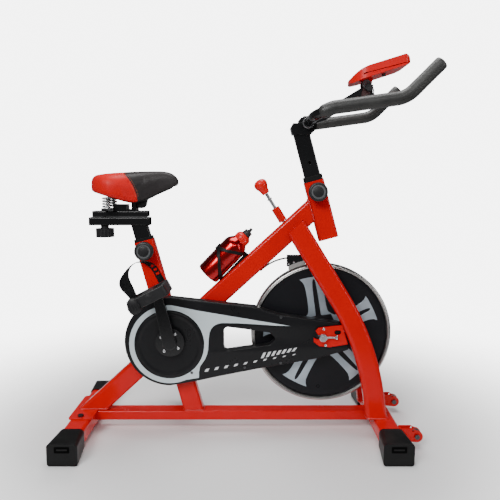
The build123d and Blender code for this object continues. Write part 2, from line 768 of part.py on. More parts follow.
GUARD_SCREWS = ((118, 366), (118, 226), (-150, 196), (10, 212))
with BuildPart() as frame_bolts:
    for x, z in GUARD_SCREWS:
        with BuildSketch(side(GUARD_FACE_Y)):
            with Locations((x, z)):
                Circle(4)
        extrude(amount=2.5)
    # rear bracket bolts
    with BuildSketch(Plane.XY.offset(DECK_Z + BRACKET_T)):
        with Locations((REAR_X, -75), (REAR_X, 75)):
            RegularPolygon(9, 6)
    extrude(amount=6)
    # transport wheel bolts
    for hand in (-1, 1):
        half = EAR_GAP / 2 + EAR_T
        with BuildSketch(side(hand * WHEEL_Y + half)):
            with Locations((WHEEL_X, WHEEL_Z)):
                Circle(4)
        extrude(amount=2 * half)
        with BuildSketch(side(hand * WHEEL_Y - half)):
            with Locations((WHEEL_X, WHEEL_Z)):
                RegularPolygon(8, 6)
        extrude(amount=5)
        with BuildSketch(side(hand * WHEEL_Y + half + 5)):
            with Locations((WHEEL_X, WHEEL_Z)):
                RegularPolygon(8, 6)
        extrude(amount=5)
save(frame_bolts, "frame_bolts")

# ---------------------------------------------------------------- brake
ROD_END = -239.0           # along the rod's axis from the knob's middle, pointing down
with BuildPart() as brake_rod:
    with BuildSketch(ROD_PLANE.offset(ROD_END)):
        Circle(ROD_R)
    extrude(amount=-ROD_END - 24)
    with BuildSketch(ROD_PLANE.offset(-45)):
        Circle(ROD_R + 2.5)
    extrude(amount=4)
save(brake_rod, "brake_rod")

with BuildPart() as brake_knob:
    with BuildSketch(ROD_PLANE.offset(-23.5)):
        Circle(11)
    with BuildSketch(ROD_PLANE.offset(14)):
        Circle(20)
    loft()
    with BuildSketch(ROD_PLANE.offset(14)):
        Circle(20)
    extrude(amount=8)
    fillet(brake_knob.faces().sort_by(Axis.Z)[-1].edges(), 4)
save(brake_knob, "brake_knob")

PAD_GAP = 2.8
PAD_IN_R = FLY_R + PAD_GAP
PAD_OUT_R = PAD_IN_R + 13
BRACKET_TOP_Z = 546.0
LEAF_ROOT = (58.0, 498.4)
with BuildPart() as brake_arm:
    with BuildSketch(Plane.XZ):
        with Locations((170, 528)):
            Rectangle(64, 2 * (BRACKET_TOP_Z - 528))
        with Locations((FLY_X, FLY_Z)):
            Circle(PAD_OUT_R, mode=Mode.SUBTRACT)
    extrude(amount=14, both=True)
    with BuildSketch(Plane.XZ) as leaf:
        with BuildLine():
            ThreePointArc(LEAF_ROOT, (98, 526.5), (139, 537.5))
        trace(line_width=2.5)
    extrude(leaf.sketch, amount=10, both=True)
save(brake_arm, "brake_arm")

with BuildPart() as brake_pad:
    with BuildSketch(Plane.XZ):
        with Locations((FLY_X, FLY_Z)):
            Circle(PAD_OUT_R)
            Circle(PAD_IN_R, mode=Mode.SUBTRACT)
        with Locations((168, 515)):
            Rectangle(49, 80, mode=Mode.INTERSECT)
    extrude(amount=14, both=True)
save(brake_pad, "brake_pad")

# ---------------------------------------------------------------- bottle and cage
BOTTLE_BACK = BOTTLE_RISE - 90.0
BOTTLE_PLANE = tilted(BOTTLE_X, BOTTLE_Z, BOTTLE_BACK)
CAGE_R = BOTTLE_R + 0.6


def cage_points(*places):
    """Points in the middle plane, each given by its height up the bottle and its distance out."""
    corners = []
    for up, out in places:
        spot = BOTTLE_PLANE.origin + BOTTLE_PLANE.z_dir * up + BOTTLE_PLANE.x_dir * out
        corners.append((spot.X, spot.Z))
    return corners


with BuildPart() as bottle:
    with BuildSketch(BOTTLE_PLANE):
        Circle(BOTTLE_R)
    extrude(amount=125)
    fillet(bottle.faces().sort_by(Axis.Z)[0].edges(), 6)
    with BuildSketch(BOTTLE_PLANE.offset(125)):
        Circle(BOTTLE_R)
    with BuildSketch(BOTTLE_PLANE.offset(143)):
        Circle(27)
    loft()
save(bottle, "bottle")

with BuildPart() as bottle_cap:
    with BuildSketch(BOTTLE_PLANE.offset(143)):
        Circle(28)
    extrude(amount=16)
    with BuildSketch(BOTTLE_PLANE.offset(159)):
        Circle(28)
    with BuildSketch(BOTTLE_PLANE.offset(168)):
        Circle(17)
    loft()
    with BuildSketch(BOTTLE_PLANE.offset(168)):
        Circle(9)
    extrude(amount=8)
save(bottle_cap, "bottle_cap")

with BuildPart() as bottle_nozzle:
    with BuildSketch(BOTTLE_PLANE.offset(168 + GAP)):
        Circle(14)
    extrude(amount=15)
    with BuildSketch(BOTTLE_PLANE.offset(168 + GAP)):
        Circle(9 + FIT)
    extrude(amount=8 + GAP, mode=Mode.SUBTRACT)
    with BuildSketch(BOTTLE_PLANE.offset(183)):
        Circle(4)
    extrude(amount=12)
save(bottle_nozzle, "bottle_nozzle")

with BuildPart() as bottle_cage:
    with BuildSketch(BOTTLE_PLANE.offset(-4)):
        Circle(CAGE_R + 2.8)
        Circle(CAGE_R, mode=Mode.SUBTRACT)
    extrude(amount=140)
    # two crossing hoops, each a slanted slice of the sleeve
    hoops = []
    for middle, slant in ((103.5, -29.7), (54.3, 41.1)):
        hub_x, hub_z = up_axis(BOTTLE_X, BOTTLE_Z, BOTTLE_BACK, middle)
        hoops.append(tilted(hub_x, hub_z, BOTTLE_BACK - slant, -60))
    with BuildSketch(side(60)) as slices:
        for hoop in hoops:
            with Locations((hoop.origin.X, hoop.origin.Z)):
                angle = degrees(atan(hoop.x_dir.Z / hoop.x_dir.X))
                Rectangle(130, 9, rotation=angle)
        # the hoops end at the face of the diagonal tube
        with BuildLine():
            Polyline(*cage_points((-10, 37.9), (140, 46.5), (140, 80), (-10, 80)), close=True)
        make_face(mode=Mode.SUBTRACT)
    extrude(slices.sketch, amount=120, mode=Mode.INTERSECT)
    # the wedge that holds the hoops on the tube
    with BuildSketch(Plane.XZ) as wedge:
        with BuildLine():
            Polyline(*cage_points((18, 38.4), (131, 38.4), (131, 46.0), (18, 39.5)), close=True)
        make_face()
    extrude(wedge.sketch, amount=9, both=True)
save(bottle_cage, "bottle_cage")

# ---------------------------------------------------------------- seat post and saddle
POST_IN = 232.0            # length of seat post inside the seat tube at rest
SLOT_HALF = 38.0
with BuildPart() as seat_post:
    with BuildSketch(SEAT_PLANE.offset(-POST_IN)):
        RectangleRounded(POST_W, POST_D, 6)
        RectangleRounded(POST_W - 2 * WALL, POST_D - 2 * WALL, 4, mode=Mode.SUBTRACT)
    extrude(amount=POST_IN + 60)
    split(bisect_by=Plane.XY.offset(SEAT_RAIL_Z), keep=Keep.BOTTOM)
    # adjusting holes
    with BuildSketch(side(0)):
        for step in range(1, 8):
            hole_x, hole_z = up_axis(SEAT_TOP_X, SEAT_TOP_Z, LEAN, PIN_SEAT - 25 * step)
            with Locations((hole_x, hole_z)):
                Circle(PIN_R)
    extrude(amount=POST_D, mode=Mode.SUBTRACT)
    # the rail that the saddle slides on
    with BuildSketch(Plane.YZ.offset(-456)):
        with Locations((0, SEAT_RAIL_Z + 12)):
            RectangleRounded(40, 24, 3)
            RectangleRounded(36, 20, 2, mode=Mode.SUBTRACT)
    extrude(amount=181)
    with BuildSketch(Plane.XY.offset(SEAT_RAIL_Z - 1)):
        with Locations((SLIDER_KNOB_X, 0)):
            SlotOverall(2 * SLOT_HALF + 12, 12)
    extrude(amount=26, mode=Mode.SUBTRACT)
save(seat_post, "seat_post")

with BuildPart() as saddle_slider:
    with BuildSketch(Plane.YZ.offset(-445)):
        with Locations((0, (SLIDER_Z + SLIDER_TOP) / 2)):
            height = SLIDER_TOP - SLIDER_Z
            RectangleRounded(40, height, 3)
            RectangleRounded(36, height - 4, 2, mode=Mode.SUBTRACT)
    extrude(amount=165)
    with BuildSketch(Plane.XY.offset(SLIDER_Z - 1)):
        with Locations((SLIDER_KNOB_X, 0)):
            Circle(PIN_R + FIT)
    extrude(amount=20, mode=Mode.SUBTRACT)
save(saddle_slider, "saddle_slider")

with BuildPart() as slider_knob:
    with BuildSketch(Plane(origin=(SLIDER_KNOB_X, 0, 602))):
        Circle(27)
        with PolarLocations(27, 16):
            Circle(2.4, mode=Mode.SUBTRACT)
    extrude(amount=26)
    with BuildSketch(Plane(origin=(SLIDER_KNOB_X, 0, 628))):
        Circle(12)
    extrude(amount=SEAT_RAIL_Z - 628 - GAP)
    with BuildSketch(Plane(origin=(SLIDER_KNOB_X, 0, 628))):
        Circle(PIN_R)
    extrude(amount=SLIDER_TOP + 8 - 628)
    with BuildSketch(Plane(origin=(SLIDER_KNOB_X, 0, SLIDER_TOP + GAP))):
        RegularPolygon(10, 6)
    extrude(amount=7)
save(slider_knob, "slider_knob")

STEM_X = -320.0
SPRING_X = -396.0
SPRING_Y = 38.0
SHELL_T = 5.0
SPRING_BASE = 688.0


def under_line(x):
    """Height of the saddle's lower edge: lowest just ahead of the middle."""
    if x < -311:
        return 704 + (-311 - x) * 38 / 135
    return 704 + (x + 311) * 54 / 118


with BuildPart() as saddle_mount:
    # clamp block, front stem and the cross plate that carries the springs
    with BuildSketch(Plane.XY.offset(SLIDER_TOP)):
        with Locations((-362, 0)):
            RectangleRounded(44, 36, 5)
    extrude(amount=20)
    with BuildSketch(Plane.XY.offset(SLIDER_TOP)):
        with Locations((STEM_X, 0)):
            Circle(11)
    extrude(amount=under_line(-311) - SLIDER_TOP - 0.2)
    with BuildSketch(Plane.XY.offset(SLIDER_TOP)):
        with Locations((-344, 0)):
            Rectangle(48, 24)
    extrude(amount=5)
    with BuildSketch(Plane.XY.offset(SPRING_BASE - 4)):
        with Locations((SPRING_X + 6, 0)):
            RectangleRounded(34, 2 * SPRING_Y + 30, 10)
        with Locations((SLIDER_KNOB_X, 0)):
            Circle(12, mode=Mode.SUBTRACT)
    extrude(amount=4)
save(saddle_mount, "saddle_mount")

SPRING_H = under_line(SPRING_X) - SPRING_BASE
with BuildPart() as saddle_springs:
    for hand in (-1, 1):
        spring_base = Plane(origin=(SPRING_X, hand * SPRING_Y, SPRING_BASE + 2.6))
        coil = Helix(pitch=8.0, height=SPRING_H - 9, radius=11)
        coil_path = spring_base.location * coil
        with BuildSketch(Plane(origin=coil_path @ 0, z_dir=coil_path % 0)):
            Circle(2.4)
        sweep(path=coil_path, is_frenet=True)
save(saddle_springs, "saddle_springs")


def saddle_plan(inset):
    """The saddle from above: a wide rounded rear and a slim nose."""
    half = ((-206, 20), (-270, 29), (-330, 55), (-383, 85), (-424, 66))
    left = [(x, y - inset) for x, y in half]
    right = [(x, -y) for x, y in reversed(left)]
    with BuildSketch(Plane.XY.offset(690)) as plan:
        with BuildLine():
            Spline((-187 - inset, 0), *left, (-445 + inset, 0), *right, periodic=True)
        make_face()
    return plan


cushion_plan = saddle_plan(0)
shell_plan = saddle_plan(5)
with BuildPart() as saddle_cushion:
    add(cushion_plan.sketch)
    extrude(amount=110)
    with BuildSketch(Plane.XZ):
        with BuildLine():
            lift = SHELL_T + GAP
            Polyline(
                (-450, under_line(-450) + lift),
                (-311, under_line(-311) + lift),
                (-186, under_line(-186) + lift),
            )
            Line((-186, under_line(-186) + lift), (-186, 778))
            crown = ((-205, 794), (-235, 800), (-300, 799), (-370, 796), (-420, 793))
            Spline((-186, 778), *crown, (-450, 776))
            Line((-450, 776), (-450, under_line(-450) + lift))
        make_face()
    extrude(amount=120, both=True, mode=Mode.INTERSECT)
save(saddle_cushion, "saddle_cushion")

with BuildPart() as saddle_shell:
    add(shell_plan.sketch)
    extrude(amount=110)
    with BuildSketch(Plane.XZ):
        with BuildLine():
            Polyline(
                (-450, under_line(-450)),
                (-311, under_line(-311)),
                (-186, under_line(-186)),
                (-186, under_line(-186) + SHELL_T),
                (-311, under_line(-311) + SHELL_T),
                (-450, under_line(-450) + SHELL_T),
                close=True,
            )
        make_face()
    extrude(amount=120, both=True, mode=Mode.INTERSECT)
save(saddle_shell, "saddle_shell")


def locking_pin(plane, place, name):
    """A sprung pin with a round knob, whose tip stops just short of the post."""
    x = plane.offset(place).origin.X
    z = plane.offset(place).origin.Z
    with BuildPart() as pin:
        with BuildSketch(side(-POST_D / 2 - GAP)):
            with Locations((x, z)):
                Circle(PIN_R)
        extrude(amount=40)
        with BuildSketch(side(HOUSING_Y - GAP)):
            with Locations((x, z)):
                Circle(18)
        extrude(amount=6)
        with BuildSketch(side(HOUSING_Y - GAP - 6)):
            with Locations((x, z)):
                Circle(28)
        extrude(amount=20)
        fillet(pin.faces().sort_by(Axis.Y)[0].edges(), 5)
    save(pin, name)


locking_pin(SEAT_PLANE, PIN_SEAT, "seat_pin")
locking_pin(HEAD_PLANE, PIN_HEAD, "handlebar_pin")

# ---------------------------------------------------------------- handlebar
STEM_IN = 145.0            # length of handlebar post inside the head tube at rest
STEM_OUT = 163.0
CLAMP_HALF_Y = 23.0
with BuildPart() as handlebar_post:
    with BuildSketch(HEAD_PLANE.offset(-STEM_IN)):
        RectangleRounded(POST_W, POST_D, 6)
        RectangleRounded(POST_W - 2 * WALL, POST_D - 2 * WALL, 4, mode=Mode.SUBTRACT)
    extrude(amount=STEM_IN + STEM_OUT - 18)
    with BuildSketch(side(0)):
        for step in range(-3, 3):
            hole_x, hole_z = up_axis(HEAD_TOP_X, HEAD_TOP_Z, LEAN, PIN_HEAD - 7.5 + 48 * step)
            with Locations((hole_x, hole_z)):
                Circle(PIN_R)
    extrude(amount=POST_D, mode=Mode.SUBTRACT)
    # cradle under the bar
    with BuildSketch(Plane.XZ) as cradle:
        with BuildLine():
            Polyline(
                (150, 905),
                (204, 905),
                (BAR_X + 26, 922),
                (BAR_X + 26, BAR_Z),
                (152, BAR_Z),
                (145, 925),
                close=True,
            )
        make_face()
        with Locations((BAR_X, BAR_Z)):
            Circle(BAR_R, mode=Mode.SUBTRACT)
    extrude(cradle.sketch, amount=CLAMP_HALF_Y, both=True)
save(handlebar_post, "handlebar_post")

with BuildPart() as handlebar_clamp:
    with BuildSketch(Plane.XZ):
        with BuildLine():
            Polyline(
                (BAR_X - 26, BAR_Z),
                (BAR_X - 26, BAR_Z + 9),
                (BAR_X - 12, BAR_Z + 20),
                (BAR_X + 12, BAR_Z + 20),
                (BAR_X + 26, BAR_Z + 9),
                (BAR_X + 26, BAR_Z),
                close=True,
            )
        make_face()
        with Locations((BAR_X, BAR_Z)):
            Circle(BAR_R, mode=Mode.SUBTRACT)
    extrude(amount=CLAMP_HALF_Y, both=True)
save(handlebar_clamp, "handlebar_clamp")

BAR_KNEE = (240.0, 957.0)
BAR_TURN = (428.5, 982.5)
BAR_TIP = (514.5, 1068.5)
BAR_RADII = [38.0, 50.0, 75.0]


def bar_side(hand, start_y):
    """Points of one side of the bar: across, round the corner, forward and up."""
    return (
        (BAR_X, start_y, BAR_Z),
        (BAR_X, hand * BAR_Y, BAR_Z),
        (BAR_KNEE[0], hand * BAR_Y, BAR_KNEE[1]),
        (BAR_TURN[0], hand * BAR_Y, BAR_TURN[1]),
        (BAR_TIP[0], hand * BAR_Y, BAR_TIP[1]),
    )


with BuildPart() as handlebar:
    for hand in (-1, 1):
        with BuildLine() as bar_path:
            FilletPolyline(*bar_side(hand, 0), radius=BAR_RADII)
        with BuildSketch(Plane(origin=bar_path.line @ 0, z_dir=bar_path.line % 0)):
            Circle(BAR_R)
            Circle(BAR_R - WALL, mode=Mode.SUBTRACT)
        sweep(path=bar_path.line)
save(handlebar, "handlebar")

GRIP_START = (230.5, 953.0)   # just past the bar's first bend
with BuildPart() as handlebar_grips:
    for hand in (-1, 1):
        with BuildLine() as grip_path:
            FilletPolyline(
                (GRIP_START[0], hand * BAR_Y, GRIP_START[1]),
                *bar_side(hand, 0)[2:],
                radius=BAR_RADII[1:],
            )
        with BuildSketch(Plane(origin=grip_path.line @ 0, z_dir=grip_path.line % 0)):
            Circle(GRIP_R)
            Circle(BAR_R, mode=Mode.SUBTRACT)
        sweep(path=grip_path.line)
        # closed end
        with BuildSketch(Plane(origin=grip_path.line @ 1, z_dir=grip_path.line % 1)):
            Circle(GRIP_R)
        extrude(amount=4)
save(handlebar_grips, "handlebar_grips")

ARM_HALF_Y = 14.0
TONGUE_HALF_Y = 8.0
PIVOT_R = 10.0
ARM_ROOT_X = BAR_X + 26
with BuildPart() as console_arm:
    with BuildSketch(Plane.XZ):
        with BuildLine():
            Polyline(
                (ARM_ROOT_X, 939),
                (ARM_ROOT_X, 963),
                (352, 1041),
                (362, 1041),
                (TILT_X + PIVOT_R, TILT_Z),
                (388, 1036),
                (388, 1021),
                (360, 1019),
                (246, 947),
                close=True,
            )
        make_face()
        with Locations((TILT_X, TILT_Z)):
            Circle(PIVOT_R)
    extrude(amount=ARM_HALF_Y, both=True)
    with BuildSketch(Plane.XZ):
        with Locations((TILT_X, TILT_Z)):
            Circle(PIVOT_R + 3)
            Rectangle(60, 26, align=(Align.CENTER, Align.MIN))
    extrude(amount=TONGUE_HALF_Y, both=True, mode=Mode.SUBTRACT)
    with BuildSketch(Plane.XZ):
        with Locations((TILT_X, TILT_Z)):
            Circle(4 + FIT)
    extrude(amount=ARM_HALF_Y, both=True, mode=Mode.SUBTRACT)
save(console_arm, "console_arm")

# ---------------------------------------------------------------- console
SEAM_REAR = (311.5, 1052.0)
SEAM_FRONT = (481.0, 1106.0)
DECK_SLOPE = 17.0
CONSOLE_REAR_X = 315.0
CONSOLE_FRONT_X = 482.0
BUTTON_X = 372.0
BUTTON_Z = 1097.6
BUTTON_R = 7.0


def console_plan():
    """The console from above: square in front and well rounded towards the rider."""
    with BuildSketch(Plane.XY.offset(1020)) as plan:
        with Locations(((CONSOLE_REAR_X + CONSOLE_FRONT_X) / 2, 0)):
            Rectangle(CONSOLE_FRONT_X - CONSOLE_REAR_X, 2 * CONSOLE_HALF_W)
        fillet(plan.vertices().filter_by(lambda v: v.X < TILT_X), CONSOLE_HALF_W - 10)
        fillet(plan.vertices().filter_by(lambda v: v.X > BAR_TURN[0]), 22)
    return plan


plan = console_plan()
button_plane = tilted(BUTTON_X, BUTTON_Z, DECK_SLOPE)
with BuildPart() as console_base:
    add(plan.sketch)
    extrude(amount=120)
    with BuildSketch(Plane.XZ):
        with BuildLine():
            Polyline(
                SEAM_REAR,
                (322, 1049.5),
                (379, 1067.5),
                (435, 1085),
                (463, 1094),
                (478, 1100.5),
                SEAM_FRONT,
                close=True,
            )
        make_face()
    extrude(amount=CONSOLE_HALF_W, both=True, mode=Mode.INTERSECT)
    # tongue on the tilt pin
    with BuildSketch(Plane.XZ):
        with Locations((TILT_X, TILT_Z)):
            Circle(PIVOT_R - 0.5)
        with BuildLine():
            Polyline(
                (TILT_X - PIVOT_R + 0.5, TILT_Z),
                (TILT_X + PIVOT_R - 0.5, TILT_Z),
                (TILT_X + 14, 1072.5),
                (TILT_X - 12, 1064.5),
                close=True,
            )
        make_face()
        with Locations((TILT_X, TILT_Z)):
            Circle(4, mode=Mode.SUBTRACT)
    extrude(amount=TONGUE_HALF_Y - GAP, both=True)
save(console_base, "console_base")

with BuildPart() as console_top:
    add(plan.sketch)
    extrude(amount=120)
    with BuildSketch(Plane.XZ):
        with BuildLine():
            Line(SEAM_FRONT, SEAM_REAR)
            Spline(SEAM_REAR, (320, 1067), (339, 1083.5), (364, 1095))
            Line((364, 1095), (458, 1123.7))
            Spline((458, 1123.7), (468, 1124.5), (476, 1118.5), SEAM_FRONT)
        make_face()
    extrude(amount=CONSOLE_HALF_W, both=True, mode=Mode.INTERSECT)
    # hollow inside, open towards the base
    with BuildSketch(Plane.XZ):
        with BuildLine():
            Polyline((368, 1070), (368, 1090), (462, 1119), (474, 1103.8), close=True)
        make_face()
    extrude(amount=CONSOLE_HALF_W - 7, both=True, mode=Mode.SUBTRACT)
    with BuildSketch(button_plane.offset(-12)):
        Circle(BUTTON_R + 0.1)
    extrude(amount=24, mode=Mode.SUBTRACT)
save(console_top, "console_top")

with BuildPart() as console_button:
    with BuildSketch(button_plane.offset(-6)):
        Circle(BUTTON_R)
    extrude(amount=8)
save(console_button, "console_button")

with BuildPart() as console_knob:
    with BuildSketch(side(ARM_HALF_Y + 4)):
        with Locations((TILT_X, TILT_Z)):
            Circle(3.9)
    extrude(amount=2 * ARM_HALF_Y + 8)
    with BuildSketch(side(ARM_HALF_Y + 6)):
        with Locations((TILT_X, TILT_Z)):
            RegularPolygon(7, 6)
    extrude(amount=6 - GAP)
    with BuildSketch(side(-ARM_HALF_Y - GAP)):
        with Locations((TILT_X, TILT_Z)):
            Circle(12)
            with PolarLocations(12, 8):
                Circle(2, mode=Mode.SUBTRACT)
    extrude(amount=12)
save(console_knob, "console_knob")
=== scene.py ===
import json
from math import acos, copysign, cos, exp, hypot, pi, radians, sin, tan

import bmesh
import bpy
from mathutils import Matrix, Quaternion, Vector, noise
from mathutils.bvhtree import BVHTree
from mathutils.geometry import tessellate_polygon


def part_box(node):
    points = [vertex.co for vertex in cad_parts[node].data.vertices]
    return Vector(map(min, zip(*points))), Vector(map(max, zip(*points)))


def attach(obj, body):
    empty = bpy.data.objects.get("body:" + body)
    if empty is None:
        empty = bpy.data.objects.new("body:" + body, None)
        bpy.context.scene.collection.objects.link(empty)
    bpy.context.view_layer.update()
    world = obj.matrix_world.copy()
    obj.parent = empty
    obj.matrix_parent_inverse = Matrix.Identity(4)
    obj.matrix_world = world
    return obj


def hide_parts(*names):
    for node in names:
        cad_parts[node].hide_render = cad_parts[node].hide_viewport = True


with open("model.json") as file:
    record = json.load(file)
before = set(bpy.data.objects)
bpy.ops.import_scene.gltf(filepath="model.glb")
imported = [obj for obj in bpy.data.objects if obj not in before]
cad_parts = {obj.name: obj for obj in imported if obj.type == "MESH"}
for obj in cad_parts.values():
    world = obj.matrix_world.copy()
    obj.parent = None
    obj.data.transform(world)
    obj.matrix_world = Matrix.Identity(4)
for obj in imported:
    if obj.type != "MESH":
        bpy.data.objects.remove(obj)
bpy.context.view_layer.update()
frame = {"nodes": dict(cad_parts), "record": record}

# Indoor spin bike. Shapes are given in millimetres and scaled to metres as they are made.
MM = 0.001
NODES = frame["nodes"]
SIDES = (-1, 1)
ACROSS = Vector((0, 1, 0))
MAP_RANGE = ("Value", "From Min", "From Max", "To Min", "To Max")


# ------ camera, light and floor
def link(thing):
    bpy.context.scene.collection.objects.link(thing)


CAMERA_AT = (0.0257, -1.690, 0.764)
CAMERA_PITCH = 6.823
camera_data = bpy.data.cameras.new("camera")
camera_data.lens = 40.32
camera_data.sensor_width = 36.0
camera_data.clip_start, camera_data.clip_end = 0.05, 50.0
camera = bpy.data.objects.new("camera", camera_data)
camera.location = CAMERA_AT
camera.rotation_euler = (radians(90.0 - CAMERA_PITCH), 0, 0)
link(camera)
bpy.context.scene.camera = camera


def area_light(name, location, target, size, watts, size_y=None, glossy=True):
    data = bpy.data.lights.new(name, "AREA")
    data.energy = watts
    data.shape = "RECTANGLE"
    data.size = size
    data.size_y = size_y or size
    light = bpy.data.objects.new(name, data)
    light.location = location
    light.rotation_euler = (Vector(target) - light.location).to_track_quat("-Z", "Y").to_euler()
    light.visible_glossy = glossy
    link(light)


area_light("key", (-1.3, -2.5, 2.3), (0, 0, 0.5), 1.2, 82)
area_light("top", (0.1, 0.2, 2.8), (0, 0, 0.4), 1.6, 48, 1.2)
area_light("right_strip", (2.3, -1.3, 1.2), (0.1, 0, 0.5), 0.3, 12, 1.8)
area_light("back", (-0.6, 2.6, 1.9), (0, 0, 0.5), 1.6, 28, glossy=False)
area_light("front_strip", (0.4, -2.5, 2.1), (0.3, -0.2, 1.0), 2.0, 16, 0.25)


# ------ materials
M = {}
SOCKETS = {"metal": "Metallic", "specular": "Specular IOR Level", "coat": "Coat Weight",
    "coat_rough": "Coat Roughness", "sheen": "Sheen Weight", "sheen_rough": "Sheen Roughness"}


class Graph:
    """A few shorthands for building the node tree of a world, or of a material, made here if only named."""

    def __init__(self, owner):
        self.owner = bpy.data.materials.new(owner) if isinstance(owner, str) else owner
        self.owner.use_nodes = True
        self.tree = self.owner.node_tree
        self.shader = self.tree.nodes.get("Principled BSDF")
        self.places = self.node("ShaderNodeTexCoord").outputs

    def node(self, kind, **settings):
        made = self.tree.nodes.new(kind)
        for key, value in settings.items():
            setattr(made, key, value)
        return made

    def link(self, source, target):
        self.tree.links.new(source, target)

    def feed(self, made, name, value):
        if isinstance(value, bpy.types.NodeSocket):
            self.link(value, made.inputs[name])
        else:
            made.inputs[name].default_value = value

    def noise(self, scale, detail=3.0, rough=0.5, vector=None, distortion=0.0):
        made = self.node("ShaderNodeTexNoise")
        for name, value in (("Vector", vector or self.places["Object"]), ("Scale", scale), ("Detail", detail),
                ("Roughness", rough), ("Distortion", distortion)):
            self.feed(made, name, value)
        return made.outputs["Fac"]

    def cells(self, scale, feature="F1"):
        made = self.node("ShaderNodeTexVoronoi", feature=feature)
        self.feed(made, "Vector", self.places["Object"])
        self.feed(made, "Scale", scale)
        return made.outputs["Distance"]

    def mapped(self, vector, name, values):
        """A vector moved, turned or stretched: name is Location, Rotation or Scale."""
        made = self.node("ShaderNodeMapping")
        self.feed(made, "Vector", vector)
        self.feed(made, name, values)
        return made.outputs["Vector"]

    def apart(self, vector):
        made = self.node("ShaderNodeSeparateXYZ")
        self.link(vector, made.inputs[0])
        return made.outputs

    def math(self, operation, a, b=0.0, clamp=False):
        made = self.node("ShaderNodeMath", operation=operation, use_clamp=clamp)
        self.feed(made, 0, a)
        self.feed(made, 1, b)
        return made.outputs[0]

    def span(self, value, low, high, to_low=0.0, to_high=1.0):
        made = self.node("ShaderNodeMapRange")
        for key, number in zip(MAP_RANGE, (value, low, high, to_low, to_high)):
            self.feed(made, key, number)
        return made.outputs["Result"]

    def mix(self, factor, a, b):
        made = self.node("ShaderNodeMix", data_type="RGBA")
        self.feed(made, 0, factor)
        for index, value in ((6, a), (7, b)):
            if isinstance(value, tuple):
                value = (*value[:3], 1.0)
            self.feed(made, index, value)
        return made.outputs[2]

    def blend(self, value, a, b):
        return self.mix(self.span(value, 0.3, 0.7), a, b)

    def mix_surface(self, factor, a, b):
        """Sends a mix of two shaders to the output."""
        mix = self.node("ShaderNodeMixShader")
        for index, source in enumerate((factor, a, b)):
            self.link(source, mix.inputs[index])
        out = next(n for n in self.tree.nodes if n.type.startswith("OUTPUT"))
        self.link(mix.outputs[0], out.inputs["Surface"])

    def bump(self, height, distance, strength=1.0, normal=None):
        made = self.node("ShaderNodeBump")
        for name, value in (("Strength", strength), ("Distance", distance), ("Height", height)):
            self.feed(made, name, value)
        if normal is not None:
            self.link(normal, made.inputs["Normal"])
        return made.outputs["Normal"]

    def edges(self, radius):
        """A rounded normal, and a mask that is 1 on sharp edges."""
        made = self.node("ShaderNodeBevel", samples=4)
        self.feed(made, "Radius", radius)
        flat = self.node("ShaderNodeNewGeometry").outputs["Normal"]
        dot = self.node("ShaderNodeVectorMath", operation="DOT_PRODUCT")
        self.link(made.outputs["Normal"], dot.inputs[0])
        self.link(flat, dot.inputs[1])
        mask = self.span(dot.outputs["Value"], 0.995, 0.86)
        return made.outputs["Normal"], mask

    def painted(self, tone, roughness, normal, **constants):
        """Joins the maps to the shader and sets its constants on its own sockets."""
        for name, source in (("Base Color", tone), ("Roughness", roughness), ("Normal", normal)):
            self.link(source, self.shader.inputs[name])
        for key, value in constants.items():
            self.shader.inputs[SOCKETS[key]].default_value = value
        return self.owner


def studio_world():
    """A pale room: bright where the camera looks at it, dim overhead, so that dark paint stays dark."""
    g = Graph(bpy.data.worlds.new("studio"))
    room, seen = g.tree.nodes["Background"], g.node("ShaderNodeBackground")
    g.feed(room, "Strength", g.span(g.apart(g.places["Generated"])["Z"], -0.05, 0.6, 0.22, 0.10))
    g.feed(room, "Color", (0.95, 0.96, 1.0, 1))
    g.feed(seen, "Strength", 6.0)
    g.feed(seen, "Color", (1.0, 1.0, 1.0, 1))
    g.mix_surface(g.node("ShaderNodeLightPath").outputs["Is Camera Ray"], room.outputs[0], seen.outputs[0])
    return g.owner


bpy.context.scene.world = studio_world()


def shade(color, amount):
    return tuple(min(1.0, c * amount) for c in color)


def finish(name, color, rough, metal=0.0, coat=0.0, coat_rough=0.08, grain=700.0, grain_depth=0.00004, mottle=0.10,
        spread=0.06, round_edge=0.0, wear=0.0, wear_color=(0.3, 0.3, 0.3), dust=0.0, specular=0.5, cloud=7.0):
    """A surface with mottled colour and roughness, a fine grain, rounded and worn edges, and a little dust."""
    g = Graph(name)
    clouds = g.noise(cloud, 4, 0.6)
    speckle = g.noise(160.0, 3, 0.6)
    dark, light = shade(color, 1.0 - mottle), shade(color, 1.0 + mottle)
    tone = g.blend(clouds, dark, light)
    tone = g.mix(g.span(speckle, 0.35, 0.75, 0.0, 0.35), tone, shade(color, 1.0 - 1.6 * mottle))
    roughness = g.span(clouds, 0.25, 0.75, max(0.02, rough - spread), rough + spread)
    roughness = g.math("ADD", roughness, g.span(speckle, 0.3, 0.7, -0.3 * spread, 0.3 * spread), clamp=True)
    normal = None
    if round_edge:
        normal, mask = g.edges(round_edge)
        if wear:
            worn = g.math("MULTIPLY", mask, g.span(g.noise(90.0, 4, 0.7), 0.5, 0.72, 0.0, wear), clamp=True)
            tone = g.mix(worn, tone, wear_color)
    if dust:
        lying = g.span(g.apart(g.node("ShaderNodeNewGeometry").outputs["Normal"])["Z"], 0.3, 1.0)
        film = g.math("MULTIPLY", lying, g.span(g.noise(28.0, 5, 0.7), 0.45, 0.75, 0.0, dust), clamp=True)
        tone = g.mix(film, tone, (0.42, 0.40, 0.37))
        roughness = g.math("ADD", roughness, g.math("MULTIPLY", film, 0.5), clamp=True)
    normal = g.bump(g.noise(grain, 2, 0.5), grain_depth, 1.0, normal)
    M[name] = g.painted(tone, roughness, normal, metal=metal, specular=specular, coat=coat, coat_rough=coat_rough)
    return M[name]


